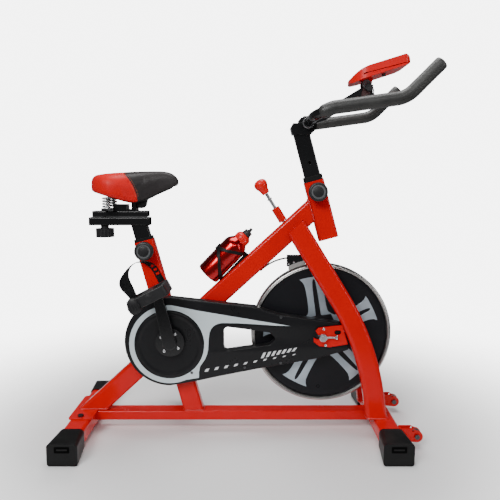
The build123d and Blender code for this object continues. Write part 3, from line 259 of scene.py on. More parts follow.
RED = (0.60, 0.0012, 0.002)
BLACK = (0.0045, 0.0045, 0.005)
finish("frame_paint", RED, 0.22, coat=0.14, coat_rough=0.05, specular=0.18, grain=420, grain_depth=0.00006,
    mottle=0.05, round_edge=0.0012, dust=0.02)
finish("black_paint", BLACK, 0.17, coat=0.25, coat_rough=0.05, specular=0.32, grain=500, grain_depth=0.00005,
    mottle=0.2, round_edge=0.0011, wear=0.35, dust=0.02)
finish("cap_plastic", (0.004, 0.004, 0.0042), 0.46, specular=0.22, grain=1500, grain_depth=0.00010, mottle=0.2,
    round_edge=0.0020, wear=0.25, wear_color=(0.08, 0.08, 0.08), dust=0.03)
finish("guard_plastic", (0.008, 0.008, 0.009), 0.30, grain=1700, grain_depth=0.00007, mottle=0.15, dust=0.05,
    specular=0.22)
finish("cover_plastic", (0.007, 0.007, 0.009), 0.36, grain=1300, grain_depth=0.00005, mottle=0.15, dust=0.03,
    specular=0.2)
finish("knob_plastic", (0.014, 0.014, 0.015), 0.42, specular=0.35, grain=1600, grain_depth=0.00012, mottle=0.2,
    round_edge=0.0010, wear=0.2, wear_color=(0.09, 0.09, 0.09), dust=0.12)
finish("red_plastic", (0.72, 0.002, 0.002), 0.30, coat=0.15, coat_rough=0.12, specular=0.24, grain=900,
    grain_depth=0.00004, mottle=0.04, round_edge=0.0009, dust=0.10)
finish("steel", (0.52, 0.52, 0.53), 0.28, metal=1.0, grain=900, grain_depth=0.00002, mottle=0.12, spread=0.10,
    round_edge=0.0006)
finish("bolt_chrome", (0.66, 0.66, 0.67), 0.18, metal=1.0, grain=900, grain_depth=0.00001, mottle=0.10, spread=0.08,
    round_edge=0.0004)
finish("belt_rubber", (0.012, 0.012, 0.012), 0.62, grain=900, grain_depth=0.0001, mottle=0.2)
finish("wheel_rubber", (0.014, 0.014, 0.014), 0.66, grain=900, grain_depth=0.0001, mottle=0.25, round_edge=0.001,
    dust=0.4)
finish("strap_rubber", (0.010, 0.010, 0.011), 0.42, specular=0.35, grain=1500, grain_depth=0.00008, mottle=0.25,
    dust=0.15)
finish("decal_pale", (0.60, 0.68, 0.71), 0.42, grain=1200, grain_depth=0.00002, mottle=0.05)
finish("decal_white", (0.76, 0.77, 0.78), 0.45, grain=1200, grain_depth=0.00002, mottle=0.06)
finish("weld_paint", shade(RED, 0.9), 0.36, coat=0.6, grain=260, grain_depth=0.0003, mottle=0.12)
finish("dark_zinc", (0.10, 0.10, 0.105), 0.34, metal=1.0, grain=900, grain_depth=0.00002, mottle=0.2, spread=0.08,
    round_edge=0.0005)
# painted shade: a near-black stand-in for the shade inside holes, slots and seam gaps
finish("hole_dark", (0.0015, 0.0015, 0.0015), 0.9, specular=0.04, grain=300, mottle=0.3)
finish("pin_ring", (0.16, 0.165, 0.17), 0.35, metal=0.6, grain=900, grain_depth=0.00003, mottle=0.2)
finish("dark_maroon", (0.030, 0.004, 0.004), 0.35, coat=0.2, grain=900, mottle=0.15, dust=0.05)
finish("thread_red", (0.60, 0.14, 0.06), 0.65, grain=2600, grain_depth=0.0002, mottle=0.25)


def spoke_finish():
    """Silver-blue lacquer with paler metal flake."""
    g = Graph("spoke_silver")
    flake = g.cells(1500.0)
    clouds = g.noise(14.0, 3, 0.5)
    tone = g.blend(clouds, (0.27, 0.33, 0.38), (0.46, 0.53, 0.59))
    tone = g.mix(g.span(flake, 0.0, 0.7, 0.25, 0.0), tone, (0.62, 0.68, 0.72))
    return g.painted(tone, g.span(flake, 0.0, 0.8, 0.30, 0.42), g.bump(flake, 0.00003), metal=0.55, coat=0.3)


def turned_steel(center_x, center_z):
    """Bright steel with the fine circular marks that a lathe leaves."""
    g = Graph("turned_steel")
    parts = g.apart(g.mapped(g.places["Object"], "Location", (-center_x, 0, -center_z)))
    square = g.math("ADD", *[g.math("MULTIPLY", parts[axis], parts[axis]) for axis in "XZ"])
    flat = g.node("ShaderNodeCombineXYZ")
    g.feed(flat, "X", g.math("SQRT", square))
    g.feed(flat, "Y", parts["Y"])
    rings = g.noise(1100.0, 2, 0.6, vector=flat.outputs["Vector"])
    clouds = g.noise(9.0, 4, 0.6)
    tone = g.blend(clouds, (0.40, 0.39, 0.38), (0.60, 0.59, 0.57))
    tone = g.mix(g.span(rings, 0.35, 0.7, 0.0, 0.5), tone, (0.30, 0.29, 0.28))
    return g.painted(tone, g.span(rings, 0.3, 0.7, 0.20, 0.34), g.bump(rings, 0.00004), metal=1.0)


def foam_finish():
    """Closed-cell foam: matt, with shallow pores darkened by painted shade, and scuffed patches."""
    g = Graph("foam")
    pores = g.cells(900.0)
    fine = g.noise(2300.0, 2, 0.6)
    scuffs = g.noise(22.0, 5, 0.65)
    tone = g.mix(g.span(scuffs, 0.35, 0.7), (0.017, 0.017, 0.016), (0.030, 0.030, 0.028))
    # painted shade: the pores' hollows are darkened
    tone = g.mix(g.span(pores, 0.0, 0.35, 0.6, 0.0), tone, (0.009, 0.009, 0.009))
    height = g.math("ADD", g.math("MULTIPLY", pores, 0.7), g.math("MULTIPLY", fine, 0.3))
    return g.painted(tone, g.span(scuffs, 0.3, 0.7, 0.38, 0.50), g.bump(height, 0.00022), sheen=0.08,
        sheen_rough=0.4, specular=0.55)


def felt_finish():
    """Pressed wool felt: pale grey, matted fibres."""
    g = Graph("felt")
    fibres = g.noise(900.0, 5, 0.75, distortion=2.0)
    tufts = g.noise(120.0, 4, 0.6)
    tone = g.blend(fibres, (0.20, 0.20, 0.19), (0.42, 0.42, 0.40))
    tone = g.mix(g.span(tufts, 0.4, 0.7, 0.0, 0.4), tone, (0.24, 0.24, 0.23))
    return g.painted(tone, g.span(tufts, 0.3, 0.7, 0.85, 0.98), g.bump(fibres, 0.0006), sheen=0.4)


def leather_finish():
    """Synthetic leather in two colours; the mesh's own value 'seam' says on which side a point lies."""
    g = Graph("saddle_leather")
    grain = g.cells(520.0, "SMOOTH_F1")
    fine = g.noise(1500.0, 3, 0.6)
    wrinkles = g.noise(70.0, 5, 0.6, distortion=0.6)
    clouds = g.noise(16.0, 3, 0.5)
    side = g.node("ShaderNodeAttribute", attribute_name="seam").outputs["Fac"]
    front = g.math("GREATER_THAN", side, 0.0)
    red = g.blend(clouds, (0.76, 0.002, 0.002), (0.88, 0.003, 0.003))
    black = g.blend(clouds, (0.020, 0.0205, 0.021), (0.030, 0.0305, 0.031))
    tone = g.mix(front, red, black)
    # painted shade: the grain's hollows, where the bump sinks, are darkened
    crease_shade = g.span(grain, 0.0, 0.55, 0.0, 0.30)
    tone = g.mix(crease_shade, tone, (0.02, 0.005, 0.005))
    rough = g.math("ADD", g.span(grain, 0.0, 0.6, 0.36, 0.48), g.span(clouds, 0.3, 0.7, -0.04, 0.05))
    height = g.math("ADD", g.math("MULTIPLY", grain, -0.6), g.math("MULTIPLY", fine, 0.25))
    normal = g.bump(wrinkles, 0.0004, 0.6)
    return g.painted(tone, rough, g.bump(height, 0.00018, 1.0, normal), specular=0.25)


def bottle_finish(lean):
    """Red anodised aluminium with faint drawing marks along the bottle."""
    g = Graph("bottle_anodised")
    along = g.mapped(g.mapped(g.places["Object"], "Rotation", (0, lean, 0)), "Scale", (14.0, 14.0, 0.8))
    drawn = g.noise(60.0, 3, 0.6, vector=along)
    clouds = g.noise(20.0, 4, 0.6)
    tone = g.blend(clouds, (0.36, 0.002, 0.005), (0.52, 0.004, 0.008))
    tone = g.mix(g.span(drawn, 0.4, 0.7, 0.0, 0.3), tone, (0.20, 0.002, 0.004))
    return g.painted(tone, g.span(drawn, 0.3, 0.7, 0.20, 0.30), g.bump(drawn, 0.00003), metal=1.0, coat=0.5,
        coat_rough=0.05)


def lens_finish():
    """Dark glass over a display, with faint smears."""
    g = Graph("lens_dark")
    smear = g.noise(30.0, 5, 0.7, distortion=1.5)
    tone = g.blend(smear, (0.010, 0.013, 0.012), (0.020, 0.025, 0.023))
    return g.painted(tone, g.span(smear, 0.35, 0.75, 0.04, 0.20), g.bump(g.noise(400.0, 2), 0.00001), coat=0.6)


FLY = (243.0, 308.0)
BB = (-213.0, 293.0)
M["spoke"] = spoke_finish()
M["flywheel_iron"] = turned_steel(FLY[0] * MM, FLY[1] * MM)
M["foam"] = foam_finish()
M["felt"] = felt_finish()
M["saddle_cover"] = leather_finish()
M["bottle_metal"] = bottle_finish(radians(44.0))
M["lens"] = lens_finish()


def floor_finish():
    """Pale matt floor that fades into the room a few metres out."""
    g = Graph(finish("floor_pale", (0.86, 0.86, 0.86), 0.85, grain=60, grain_depth=0.0001, mottle=0.012,
        specular=0.1, cloud=2.0))
    distance = g.node("ShaderNodeVectorMath", operation="LENGTH")
    g.link(g.places["Object"], distance.inputs[0])
    fade = g.node("ShaderNodeMapRange", interpolation_type="SMOOTHSTEP")
    for key, value in (("Value", distance.outputs["Value"]), ("From Min", 0.50), ("From Max", 1.7)):
        g.feed(fade, key, value)
    g.mix_surface(fade.outputs["Result"], g.shader.outputs[0], g.node("ShaderNodeBsdfTransparent").outputs[0])
    return g.owner


floor_mesh = bpy.data.meshes.new("floor")
floor_mesh.from_pydata([(-9, -9, 0), (9, -9, 0), (9, 9, 0), (-9, 9, 0)], [], [(0, 1, 2, 3)])
floor = bpy.data.objects.new("floor", floor_mesh)
floor.location.z = -0.0005
link(floor)
floor_mesh.materials.append(floor_finish())

for node_name, node in NODES.items():
    slot_name = next(s["material_slot"] for s in frame["record"]["subparts"] if s["node"] == node_name)
    node.data.materials.clear()
    node.data.materials.append(M["dark_zinc" if node_name == "frame_bolts" else slot_name])


# ------ mesh helpers
def adopt(made, body, replaces=None):
    """Rides a mesh object on a body, and hides the parts it replaces."""
    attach(made, body)
    if replaces:
        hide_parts(replaces)


def solid_mesh(name, bm):
    """Turns a bmesh in millimetres into a linked object in metres."""
    bmesh.ops.recalc_face_normals(bm, faces=bm.faces)
    bmesh.ops.scale(bm, vec=(MM, MM, MM), verts=bm.verts)
    mesh = bpy.data.meshes.new(name)
    bm.to_mesh(mesh)
    bm.free()
    made = bpy.data.objects.new(name, mesh)
    link(made)
    return made


def piece(name, bm, body, slot, material=None, replaces=None, angle=35.0):
    """A named piece that rides on a body; its material is its slot's own unless another is named."""
    made = solid_mesh(name, bm)
    made.data.shade_smooth()
    made.data.set_sharp_from_angle(angle=radians(angle))
    made.data.materials.append(M[material or slot])
    adopt(made, body, replaces)


def basis(axis):
    """Two directions square to an axis."""
    axis = Vector(axis).normalized()
    other = Vector((0, 1, 0)) if abs(axis.y) < 0.9 else Vector((1, 0, 0))
    u = axis.cross(other).normalized()
    return u, axis.cross(u)


def bridge(bm, rings, wrap=False):
    """Faces between rings of vertices, one after another."""
    pairs = list(zip(rings, rings[1:]))
    if wrap:
        pairs.append((rings[-1], rings[0]))
    for a, b in pairs:
        count = len(a)
        for i in range(count):
            j = (i + 1) % count
            corners = []
            for v in (a[i], a[j], b[j], b[i]):
                if v not in corners:
                    corners.append(v)
            if len(corners) > 2:
                bm.faces.new(corners)


def lathe(bm, origin, axis, profile, steps=48, lobes=None):
    """A turned shape: profile is a list of (radius, height along the axis)."""
    origin, axis = Vector(origin), Vector(axis).normalized()
    u, v = basis(axis)
    rings = []
    for radius, height in profile:
        if radius < 1e-6:
            tip = bm.verts.new(origin + axis * height)
            rings.append([tip] * steps)
            continue
        ring = []
        for i in range(steps):
            a = 2 * pi * i / steps
            r = radius * (lobes(a) if lobes else 1.0)
            ring.append(bm.verts.new(origin + axis * height + (u * cos(a) + v * sin(a)) * r))
        rings.append(ring)
    bridge(bm, rings)


def ribs(count, depth):
    """A turned shape's radius at each angle, raised and lowered in turn by this part of itself."""
    return lambda a: 1.0 + depth * (1 if sin(a * count) > 0 else -1)


def socket_head(bm, origin, axis, r, height):
    """A round head with a round socket sunk in it."""
    lathe(bm, origin, axis, [(0, 0), (r, 0), (r, height * 0.78), (r * 0.88, height), (r * 0.55, height),
        (r * 0.5, height * 0.45), (0, height * 0.4)], 24)


def frames(points, up=(0, 0, 1), closed=False):
    """Tangent, side and up at each point of a path, without twist."""
    count = len(points)
    tangents = []
    for i in range(count):
        a = points[(i - 1) % count] if closed or i else points[0]
        b = points[(i + 1) % count] if closed or i < count - 1 else points[-1]
        tangents.append((b - a).normalized())
    up = Vector(up)
    up = (up - tangents[0] * up.dot(tangents[0])).normalized()
    out = []
    for i, t in enumerate(tangents):
        if i:
            turn = tangents[i - 1].rotation_difference(t)
            up = (turn @ up)
            up = (up - t * up.dot(t)).normalized()
        out.append((t, t.cross(up), up))
    return out


def sweep(bm, points, section, up=(0, 0, 1), closed=False):
    """Sweeps a section along points. section(i, count) gives (side, up) offsets."""
    points = [Vector(p) for p in points]
    rings = []
    for i, (p, (t, s, u)) in enumerate(zip(points, frames(points, up, closed))):
        rings.append([bm.verts.new(p + s * a + u * b) for a, b in section(i, len(points))])
    bridge(bm, rings, wrap=closed)
    if not closed:
        bm.faces.new(list(reversed(rings[0])))
        bm.faces.new(rings[-1])


def ring_section(radius, steps=12):
    unit = [(cos(2 * pi * i / steps), sin(2 * pi * i / steps)) for i in range(steps)]
    return lambda i, count: [(a * radius, b * radius) for a, b in unit]


def fillet_path(corners, radii, steps=10):
    """Straight runs joined by arcs, in the plane or in space."""
    corners = [Vector(c) for c in corners]
    out = [corners[0]]
    for k in range(1, len(corners) - 1):
        a, b, c = corners[k - 1], corners[k], corners[k + 1]
        to_a, to_c = (a - b).normalized(), (c - b).normalized()
        half = to_a.angle(to_c) / 2
        back = radii[k - 1] / tan(half)
        centre = b + (to_a + to_c).normalized() * (radii[k - 1] / sin(half))
        first, last = b + to_a * back - centre, b + to_c * back - centre
        for i in range(steps + 1):
            out.append(centre + Quaternion().slerp(first.rotation_difference(last), i / steps) @ first)
    out.append(corners[-1])
    return out


def rounded_outline(corners, radii, steps=8):
    """A closed outline in (x, z) with its corners rounded."""
    flat = [Vector((x, z)) for x, z in corners]
    count = len(flat)
    if not isinstance(radii, (list, tuple)):
        radii = [radii] * count
    out = []
    for k in range(count):
        a, b, c = flat[k - 1], flat[k], flat[(k + 1) % count]
        to_a, to_c = (a - b).normalized(), (c - b).normalized()
        half = to_a.angle(to_c) / 2
        if radii[k] <= 0 or half > 1.56:
            out.append((b.x, b.y))
            continue
        back = min(radii[k] / tan(half), 0.49 * (a - b).length, 0.49 * (c - b).length)
        r = back * tan(half)
        centre = b + (to_a + to_c).normalized() * (r / sin(half))
        start, end = b + to_a * back - centre, b + to_c * back - centre
        sweep_angle = start.angle_signed(end)
        for i in range(steps + 1):
            a_now = -sweep_angle * i / steps
            c_, s_ = cos(a_now), sin(a_now)
            out.append((centre.x + start.x * c_ - start.y * s_, centre.y + start.x * s_ + start.y * c_))
    return out


def inset(outline, amount):
    """Moves a closed counter-clockwise outline inwards by this much."""
    count = len(outline)
    area = sum(outline[i][0] * outline[(i + 1) % count][1] - outline[(i + 1) % count][0] * outline[i][1]
        for i in range(count))
    turn = 1.0 if area > 0 else -1.0
    out = []
    for i in range(count):
        a, b, c = (Vector(outline[j % count]) for j in (i - 1, i, i + 1))
        d = ((b - a).normalized() + (c - b).normalized())
        d = d.normalized() if d.length > 1e-6 else (c - b).normalized()
        out.append((b.x - d.y * amount * turn, b.y + d.x * amount * turn))
    return out


def ring_at(bm, outline, y):
    return [bm.verts.new((x, y, z)) for x, z in outline]


def stack(bm, outline, levels):
    """Rings of one outline, each moved inwards by an amount and set at a place along Y, with faces between."""
    rings = [ring_at(bm, inset(outline, amount), y) for amount, y in levels]
    bridge(bm, rings)
    return rings


def close_ends(bm, rings):
    bm.faces.new(rings[0])
    bm.faces.new(rings[-1])


def fill(bm, rings):
    """A flat face with holes, between an outer ring and inner rings."""
    flat = [v for ring in rings for v in ring]
    for tri in tessellate_polygon([[v.co for v in ring] for ring in rings]):
        try:
            bm.faces.new([flat[i] for i in tri])
        except ValueError:
            pass


def on_circle(cx, cz, r, angle):
    return cx + r * cos(angle), cz + r * sin(angle)


def circle(cx, cz, r, steps):
    return [on_circle(cx, cz, r, 2 * pi * i / steps) for i in range(steps)]


# ------ flywheel
bm = bmesh.new()
RIM = [(203.0, 9.0), (202.6, 16.0), (203.0, 17.6), (204.0, 18.6), (205.2, 18.9), (206.0, 18.6), (206.6, 19.4),
    (208.2, 20.0), (210.0, 19.6), (211.9, 18.4), (213.3, 16.4), (213.9, 13.6), (214.0, 10.0)]
lathe(bm, (FLY[0], 0, FLY[1]), (0, 1, 0), [(44, -9)] + [(r, -y) for r, y in RIM]
    + [(r, y) for r, y in reversed(RIM)] + [(44, 9), (25.1, 9), (25.1, -9), (44, -9)], 192)
piece("flywheel_rim", bm, "flywheel", "flywheel_iron", replaces="flywheel", angle=30)

bm = bmesh.new()
for hand in SIDES:
    lathe(bm, (FLY[0], 0, FLY[1]), (0, hand, 0), [(28, 9.1), (28, 14.0), (30, 14.6), (44, 14.6), (50, 12.6),
        (60, 11.8), (186, 11.8), (190, 12.4), (196, 12.4), (199.5, 11.8), (202.3, 10.6), (202.3, 9.1), (28, 9.1)],
        128)
piece("flywheel_cover_discs", bm, "flywheel", "cover_plastic", replaces="flywheel_covers")

SPOKE_HALF = [(168.5, 0), (165.5, 2.8), (160, 4.6), (145, 5.9), (105, 7.1), (60, 7.6), (54.5, 8.2), (53, 12),
    (53, 37), (54, 41.5), (57.5, 37), (62, 32), (70, 29), (84, 27.4), (112, 27), (138, 28), (153, 30), (163, 34.5),
    (172, 42), (173.8, 31), (174.8, 14.5), (175.2, 0)]
SPOKES = 5
FIRST_SPOKE = 26.5
bm = bmesh.new()
for hand in SIDES:
    for k in range(SPOKES):
        angle = radians(FIRST_SPOKE + 360 / SPOKES * k)
        c, s = cos(angle), sin(angle)
        outline = SPOKE_HALF + [(u, -v) for u, v in reversed(SPOKE_HALF[1:-1])]
        flat = [(FLY[0] + u * c - v * s, FLY[1] + u * s + v * c) for u, v in outline]
        fill(bm, [stack(bm, flat, [(0, hand * 11.4), (0, hand * 12.1), (0.5, hand * 12.5)])[-1]])
piece("flywheel_spokes", bm, "flywheel", "flywheel_iron", "spoke")

# painted shade: a small dark disc on each cover stands in for the shade inside the cover's hole
SHADED_HOLE_AT, SHADED_HOLE_TURN = 171, radians(268.0)
bm = bmesh.new()
for hand in SIDES:
    spot = (FLY[0] + SHADED_HOLE_AT * cos(SHADED_HOLE_TURN), hand * 11.2, FLY[1] + SHADED_HOLE_AT * sin(SHADED_HOLE_TURN))
    lathe(bm, spot, (0, hand, 0), [(0, 0.5), (3.4, 0.5), (4.4, 0.9), (5.0, 0.9), (5.4, 0.2)], 24)
piece("cover_hole_shades", bm, "flywheel", "cover_plastic", "hole_dark")


# ------ drive guard
GUARD_R = 136.0
GUARD_END = (-215.0, 290.5)
GUARD_BACK, GUARD_FACE = -26.0, -56.0
GUARD_WALL = 3.0
LIP_R = 5.0
DECAL = [(0, -55.9), (0, -56.35)]


def guard_outline():
    """The guard in the side view, counter-clockwise: body above, axle end, body below, round rear end."""
    body = [(GUARD_END[0] + 11, GUARD_END[1] + GUARD_R - 0.5), (40, 398), (110, 374), (293, 349), (327, 267),
        (225, 238), (50, 207), (-65, 184), (-128, 170), (GUARD_END[0], GUARD_END[1] - GUARD_R)]
    radii = [0, 60, 50, 10, 10, 60, 60, 60, 60, 0]
    turns = [radians(270 - 185 * k / 48) for k in range(1, 48)]
    return rounded_outline(body, radii, 6) + [on_circle(*GUARD_END, GUARD_R, a) for a in turns]


OUTLINE = guard_outline()
WINDOW = rounded_outline([(-53, 338), (84, 320), (103, 300), (86, 282), (-53, 261)], [13, 12, 8, 12, 13], 6)
SHAFT = circle(BB[0], BB[1], 12, 32)
AXLE = circle(FLY[0], FLY[1], 14, 32)
bm = bmesh.new()
INNER_FACE = GUARD_FACE + GUARD_WALL
WINDOW_BACK = GUARD_BACK - 2.2
WINDOW_LIP = 0.55
LIP = [(LIP_R * (1 - cos(pi / 2 * k / 5)), GUARD_FACE + LIP_R * (1 - sin(pi / 2 * k / 5))) for k in range(6)]
walls = [stack(bm, OUTLINE, [(GUARD_WALL, INNER_FACE), (GUARD_WALL, GUARD_BACK), (0, GUARD_BACK), (0, -34.0),
    (0.7, -34.4), (0.7, -35.2), (0, -35.6)] + LIP), stack(bm, WINDOW, [(-GUARD_WALL, INNER_FACE),
    (-GUARD_WALL, WINDOW_BACK), (0, WINDOW_BACK)] + [(-WINDOW_LIP * amount, GUARD_FACE
    + (y - GUARD_FACE) * WINDOW_LIP) for amount, y in LIP])]
for hole in (SHAFT, AXLE):
    walls.append(stack(bm, hole, [(0, INNER_FACE), (0, GUARD_FACE)]))
fill(bm, [wall[0] for wall in walls])
fill(bm, [wall[-1] for wall in walls])
piece("guard_shell", bm, "frame", "guard_plastic", replaces="guard_outer", angle=30)

RING = (-216.5, 283.0)
RING_IN, RING_OUT = 105.0, 120.0
bm = bmesh.new()
lathe(bm, (RING[0], 0, RING[1]), (0, -1, 0), [(101.5, 55.8), (101.2, 57.0), (99, 58.4), (95.5, 59.0), (91.5, 58.9),
    (88.5, 57.9), (86.5, 57.1), (83, 56.8), (40, 56.5), (34, 55.8)], 128)
piece("guard_dish", bm, "frame", "guard_plastic")


def on_guard(points):
    """Points measured a little in front of the guard's face, brought back on to it."""
    return [(25.7 + (x - 25.7) * 1.013, 764 + (z - 764) * 1.013) for x, z in points]


def stripe():
    """The outline of the pale band round the crank, with its pointed tail."""
    tail_top = on_guard([(-121.3, 390.4), (-80, 383.4), (-33.1, 375.4), (50, 361.2), (143.7, 345.3)])
    tail_low = on_guard([(100, 346.5), (40, 350.5), (-10, 353.6), (-56.8, 354.4)])
    corner = on_guard([(-70, 351.5), (-81, 345.5), (-89, 336.5), (-94, 325)])
    down = on_guard([(-96.5, 305), (-97.5, 288), (-98.8, 272.5), (-102, 258), (-108.5, 243), (-123.1, 222.0)])
    notch = on_guard([(-126.2, 205.0), (-126.4, 187.0)])
    start, end = radians(-66.0), radians(-276.0)
    arc = [on_circle(*RING, RING_OUT, start + (end - start) * k / 71) for k in range(72)]
    return tail_top + tail_low + corner + down + notch + arc


bm = bmesh.new()
fill(bm, [stack(bm, outline, DECAL)[-1] for outline in (stripe(), circle(*RING, RING_IN, 96))])
piece("guard_band", bm, "frame", "guard_plastic", "decal_pale")



def slanted_mark(bm, x, z, w, h, lean, rise):
    quad = [(x - w / 2 - lean, z - h / 2 - rise), (x + w / 2 - lean, z - h / 2 + rise),
        (x + w / 2 + lean, z + h / 2 + rise), (x - w / 2 + lean, z + h / 2 - rise)]
    bm.faces.new(stack(bm, quad, DECAL)[-1])


bm = bmesh.new()
DASHES, BARS = 10, 7
for k in range(DASHES):
    t = k / (DASHES - 1)
    slanted_mark(bm, -104 + (158 + 104) * t, 203.5 + (252 - 203.5) * t, 10.5 - 2.8 * t, 9.5 - 5.8 * t,
        2.6 - 0.8 * t, 0.9)
for k in range(BARS):
    slanted_mark(bm, 66 + 15.5 * k, 249.5 + 3.0 * k, 8.5, 17.5 - 1.1 * k, 4, 0.8)
piece("guard_marks", bm, "frame", "guard_plastic", "decal_white")

# ------ bolts and small hardware
bm = bmesh.new()
for degrees in (57, 147, 237, 327):
    a = radians(degrees)
    socket_head(bm, (BB[0] + 30.5 * cos(a), -70.0, BB[1] + 30.5 * sin(a)), (0, -1, 0), 4.6, 3.6)
piece("spider_bolts", bm, "crankset", "bolt_chrome")

bm = bmesh.new()
for x, z in ((FLY[0] + 2, 333.5), (FLY[0] + 8, 283.5)):
    for hand in SIDES:
        socket_head(bm, (x, hand * 64.4, z), (0, hand, 0), 4.3, 3.2)
for hand in SIDES:
    # eye bolt across the tightening bolt
    y = hand * 70.0
    lathe(bm, (FLY[0] + 41, y, FLY[1] + 1 - 7), (0, 0, 1), [(0, 0), (2.4, 0), (2.8, 0.6), (2.8, 13.4), (2.4, 14),
        (0, 14)], 16)
    lathe(bm, (FLY[0] + 34, y, FLY[1]), (1, 0, 0), [(0, 0), (5, 0), (5.6, 0.8), (5.6, 3.6), (5, 4.4), (0, 4.4)], 6)
    lathe(bm, (FLY[0], hand * 76.3, FLY[1]), (0, hand, 0), [(0, 5.4), (5.2, 5.6), (6.0, 4.8), (6.0, 0.8),
        (10.6, 0.8), (11.6, 0.0)], 32)
piece("axle_hardware", bm, "frame", "steel", "bolt_chrome")

bm = bmesh.new()
for hand in SIDES:
    for dx in (-17, 17):
        socket_head(bm, (195 + dx, hand * 15, 947 - abs(dx) * 0.05 + 4.0), (0, 0, 1), 4.2, 4.2)
piece("clamp_bolts", bm, "handlebar", "bolt_chrome")


bm = bmesh.new()
for x, z in ((143, 521), (158, 526)):
    for hand in SIDES:
        socket_head(bm, (x, hand * 14.0, z), (0, hand, 0), 3.6, 2.4)
piece("brake_rivets", bm, "brake_arm", "steel", "bolt_chrome")

# ------ weld beads
def bead(bm, points, r, seed):
    """A weld bead: overlapping ripples along a closed path."""
    points = [Vector(p) for p in points]
    total = []
    for i, p in enumerate(points):
        q = points[(i + 1) % len(points)]
        steps = max(1, int((q - p).length / 1.3))
        total += [p.lerp(q, k / steps) for k in range(steps)]

    def section(i, count):
        ripple = r * (1.0 + 0.16 * sin(i * 1.55) + 0.10 * noise.noise(Vector((i * 0.21, seed, 0))))
        return ring_section(ripple, 8)(i, count)

    sweep(bm, total, section, closed=True)


def tube_bead(bm, centre, along, half, corner, r, seed):
    """A bead round a tube of the frame, where it is cut to this half length along a direction."""
    centre, along = Vector(centre), Vector(along).normalized()
    flat = rounded_outline([(-half, -20), (half, -20), (half, 20), (-half, 20)], corner, 5)
    bead(bm, [centre + along * a + ACROSS * b for a, b in flat], r, seed)


DIAG = radians(42.6)
LEAN = radians(15.3)
DIAG_DIR = Vector((cos(DIAG), 0, sin(DIAG)))
UP_DIR = Vector((-sin(LEAN), 0, cos(LEAN)))
CRANK_AT = Vector((BB[0], 0, BB[1]))
TUBE_HALF = 30.0
DECK = 62.0
bm = bmesh.new()
foot = BB[0] - (BB[1] - DECK - 4) / tan(DIAG)
tube_bead(bm, (foot, 0, DECK + 4.2), (1, 0, 0), TUBE_HALF / sin(DIAG), 8, 2.8, 1)
seat_foot = BB[0] + (BB[1] - DECK) * tan(LEAN)
tube_bead(bm, (seat_foot, 0, DECK + 0.4), (1, 0, 0), TUBE_HALF / cos(LEAN), 8, 2.6, 2)
for hand in SIDES:
    tube_bead(bm, (408.0, hand * 65.0, DECK + 0.4), (1, 0, 0), 31, 10, 2.8, 3 + hand)
# diagonal tube against the head tube's back face
head_at = Vector((230.5, 0, 716.0))
back_dir = Vector((cos(LEAN), 0, sin(LEAN)))
face_origin = head_at - back_dir * 30
meet = CRANK_AT + DIAG_DIR * ((face_origin - CRANK_AT).dot(back_dir) / DIAG_DIR.dot(back_dir))
tilt = acos(abs(DIAG_DIR.dot(UP_DIR)))
tube_bead(bm, meet, UP_DIR, TUBE_HALF / sin(tilt), 8, 2.8, 6)
# seat tube above and below the diagonal tube
for side in SIDES:
    length = TUBE_HALF / abs(UP_DIR.dot(Vector((-sin(DIAG), 0, cos(DIAG))) * side))
    tube_bead(bm, CRANK_AT + UP_DIR * (length * side), DIAG_DIR, length, 8, 2.6, 8 + side)
piece("weld_beads", bm, "frame", "frame_paint", "weld_paint", angle=80)


# ------ saddle
def lerp_table(table, x):
    for (x0, y0), (x1, y1) in zip(table, table[1:]):
        if x0 <= x <= x1:
            t = (x - x0) / (x1 - x0)
            return y0 + (y1 - y0) * t
    return table[0][1] if x < table[0][0] else table[-1][1]


# half width, crown and lower edge of the saddle along X
HALF = [(-447, 0), (-446, 14), (-440, 36), (-430, 52), (-418, 64), (-400, 77), (-380, 83), (-360, 79), (-342, 69),
    (-324, 55), (-306, 44), (-290, 36.5), (-268, 30.5), (-245, 26.5), (-222, 24), (-205, 22), (-195, 19),
    (-189, 15), (-187.5, 11)]
CROWN = [(-447, 767), (-440, 782), (-428, 790), (-400, 793), (-370, 794.5), (-340, 795.5), (-300, 797),
    (-265, 798.5), (-240, 799), (-222, 797.5), (-207, 792.5), (-196, 784), (-189, 774), (-187, 767)]
UNDER = [(-447, 748), (-430, 743), (-400, 735), (-370, 726), (-340, 716), (-318, 710.5), (-304, 712), (-285, 720),
    (-250, 737), (-215, 752), (-195, 760), (-187, 764)]


def saddle_ring(x):
    """A closed section of the saddle at x: flat below, full at the sides, crowned above."""
    w = max(1.2, lerp_table(HALF, x))
    low, top = lerp_table(UNDER, x), lerp_table(CROWN, x)
    rear = max(0.0, min(1.0, (-300 - x) / 110))
    sag = 3.0 + 4.0 * rear
    ring = []
    for k in range(40):
        a = 2 * pi * k / 40
        c, s = cos(a), sin(a)
        if s >= 0:
            y = w * copysign(abs(c) ** 0.62, c)
            z = low + (top - low) * (0.32 + 0.68 * abs(s) ** 0.72)
            z -= sag * exp(-(y / (0.28 * w + 4)) ** 2) * rear
        else:
            y = w * copysign(abs(c) ** 0.45, c)
            side_z = low + (top - low) * 0.32
            rim_z = low - 10.0 * min(1.0, w / 20)
            z = side_z - (side_z - rim_z) * abs(s) ** 0.42
            z += 14.0 * max(0.0, 1 - (y / (0.86 * w)) ** 2)
        ring.append(Vector((x, y, z)))
    return ring


SADDLE_REAR, SADDLE_LONG = -446.9, 259.2
SADDLE_STEPS = 54


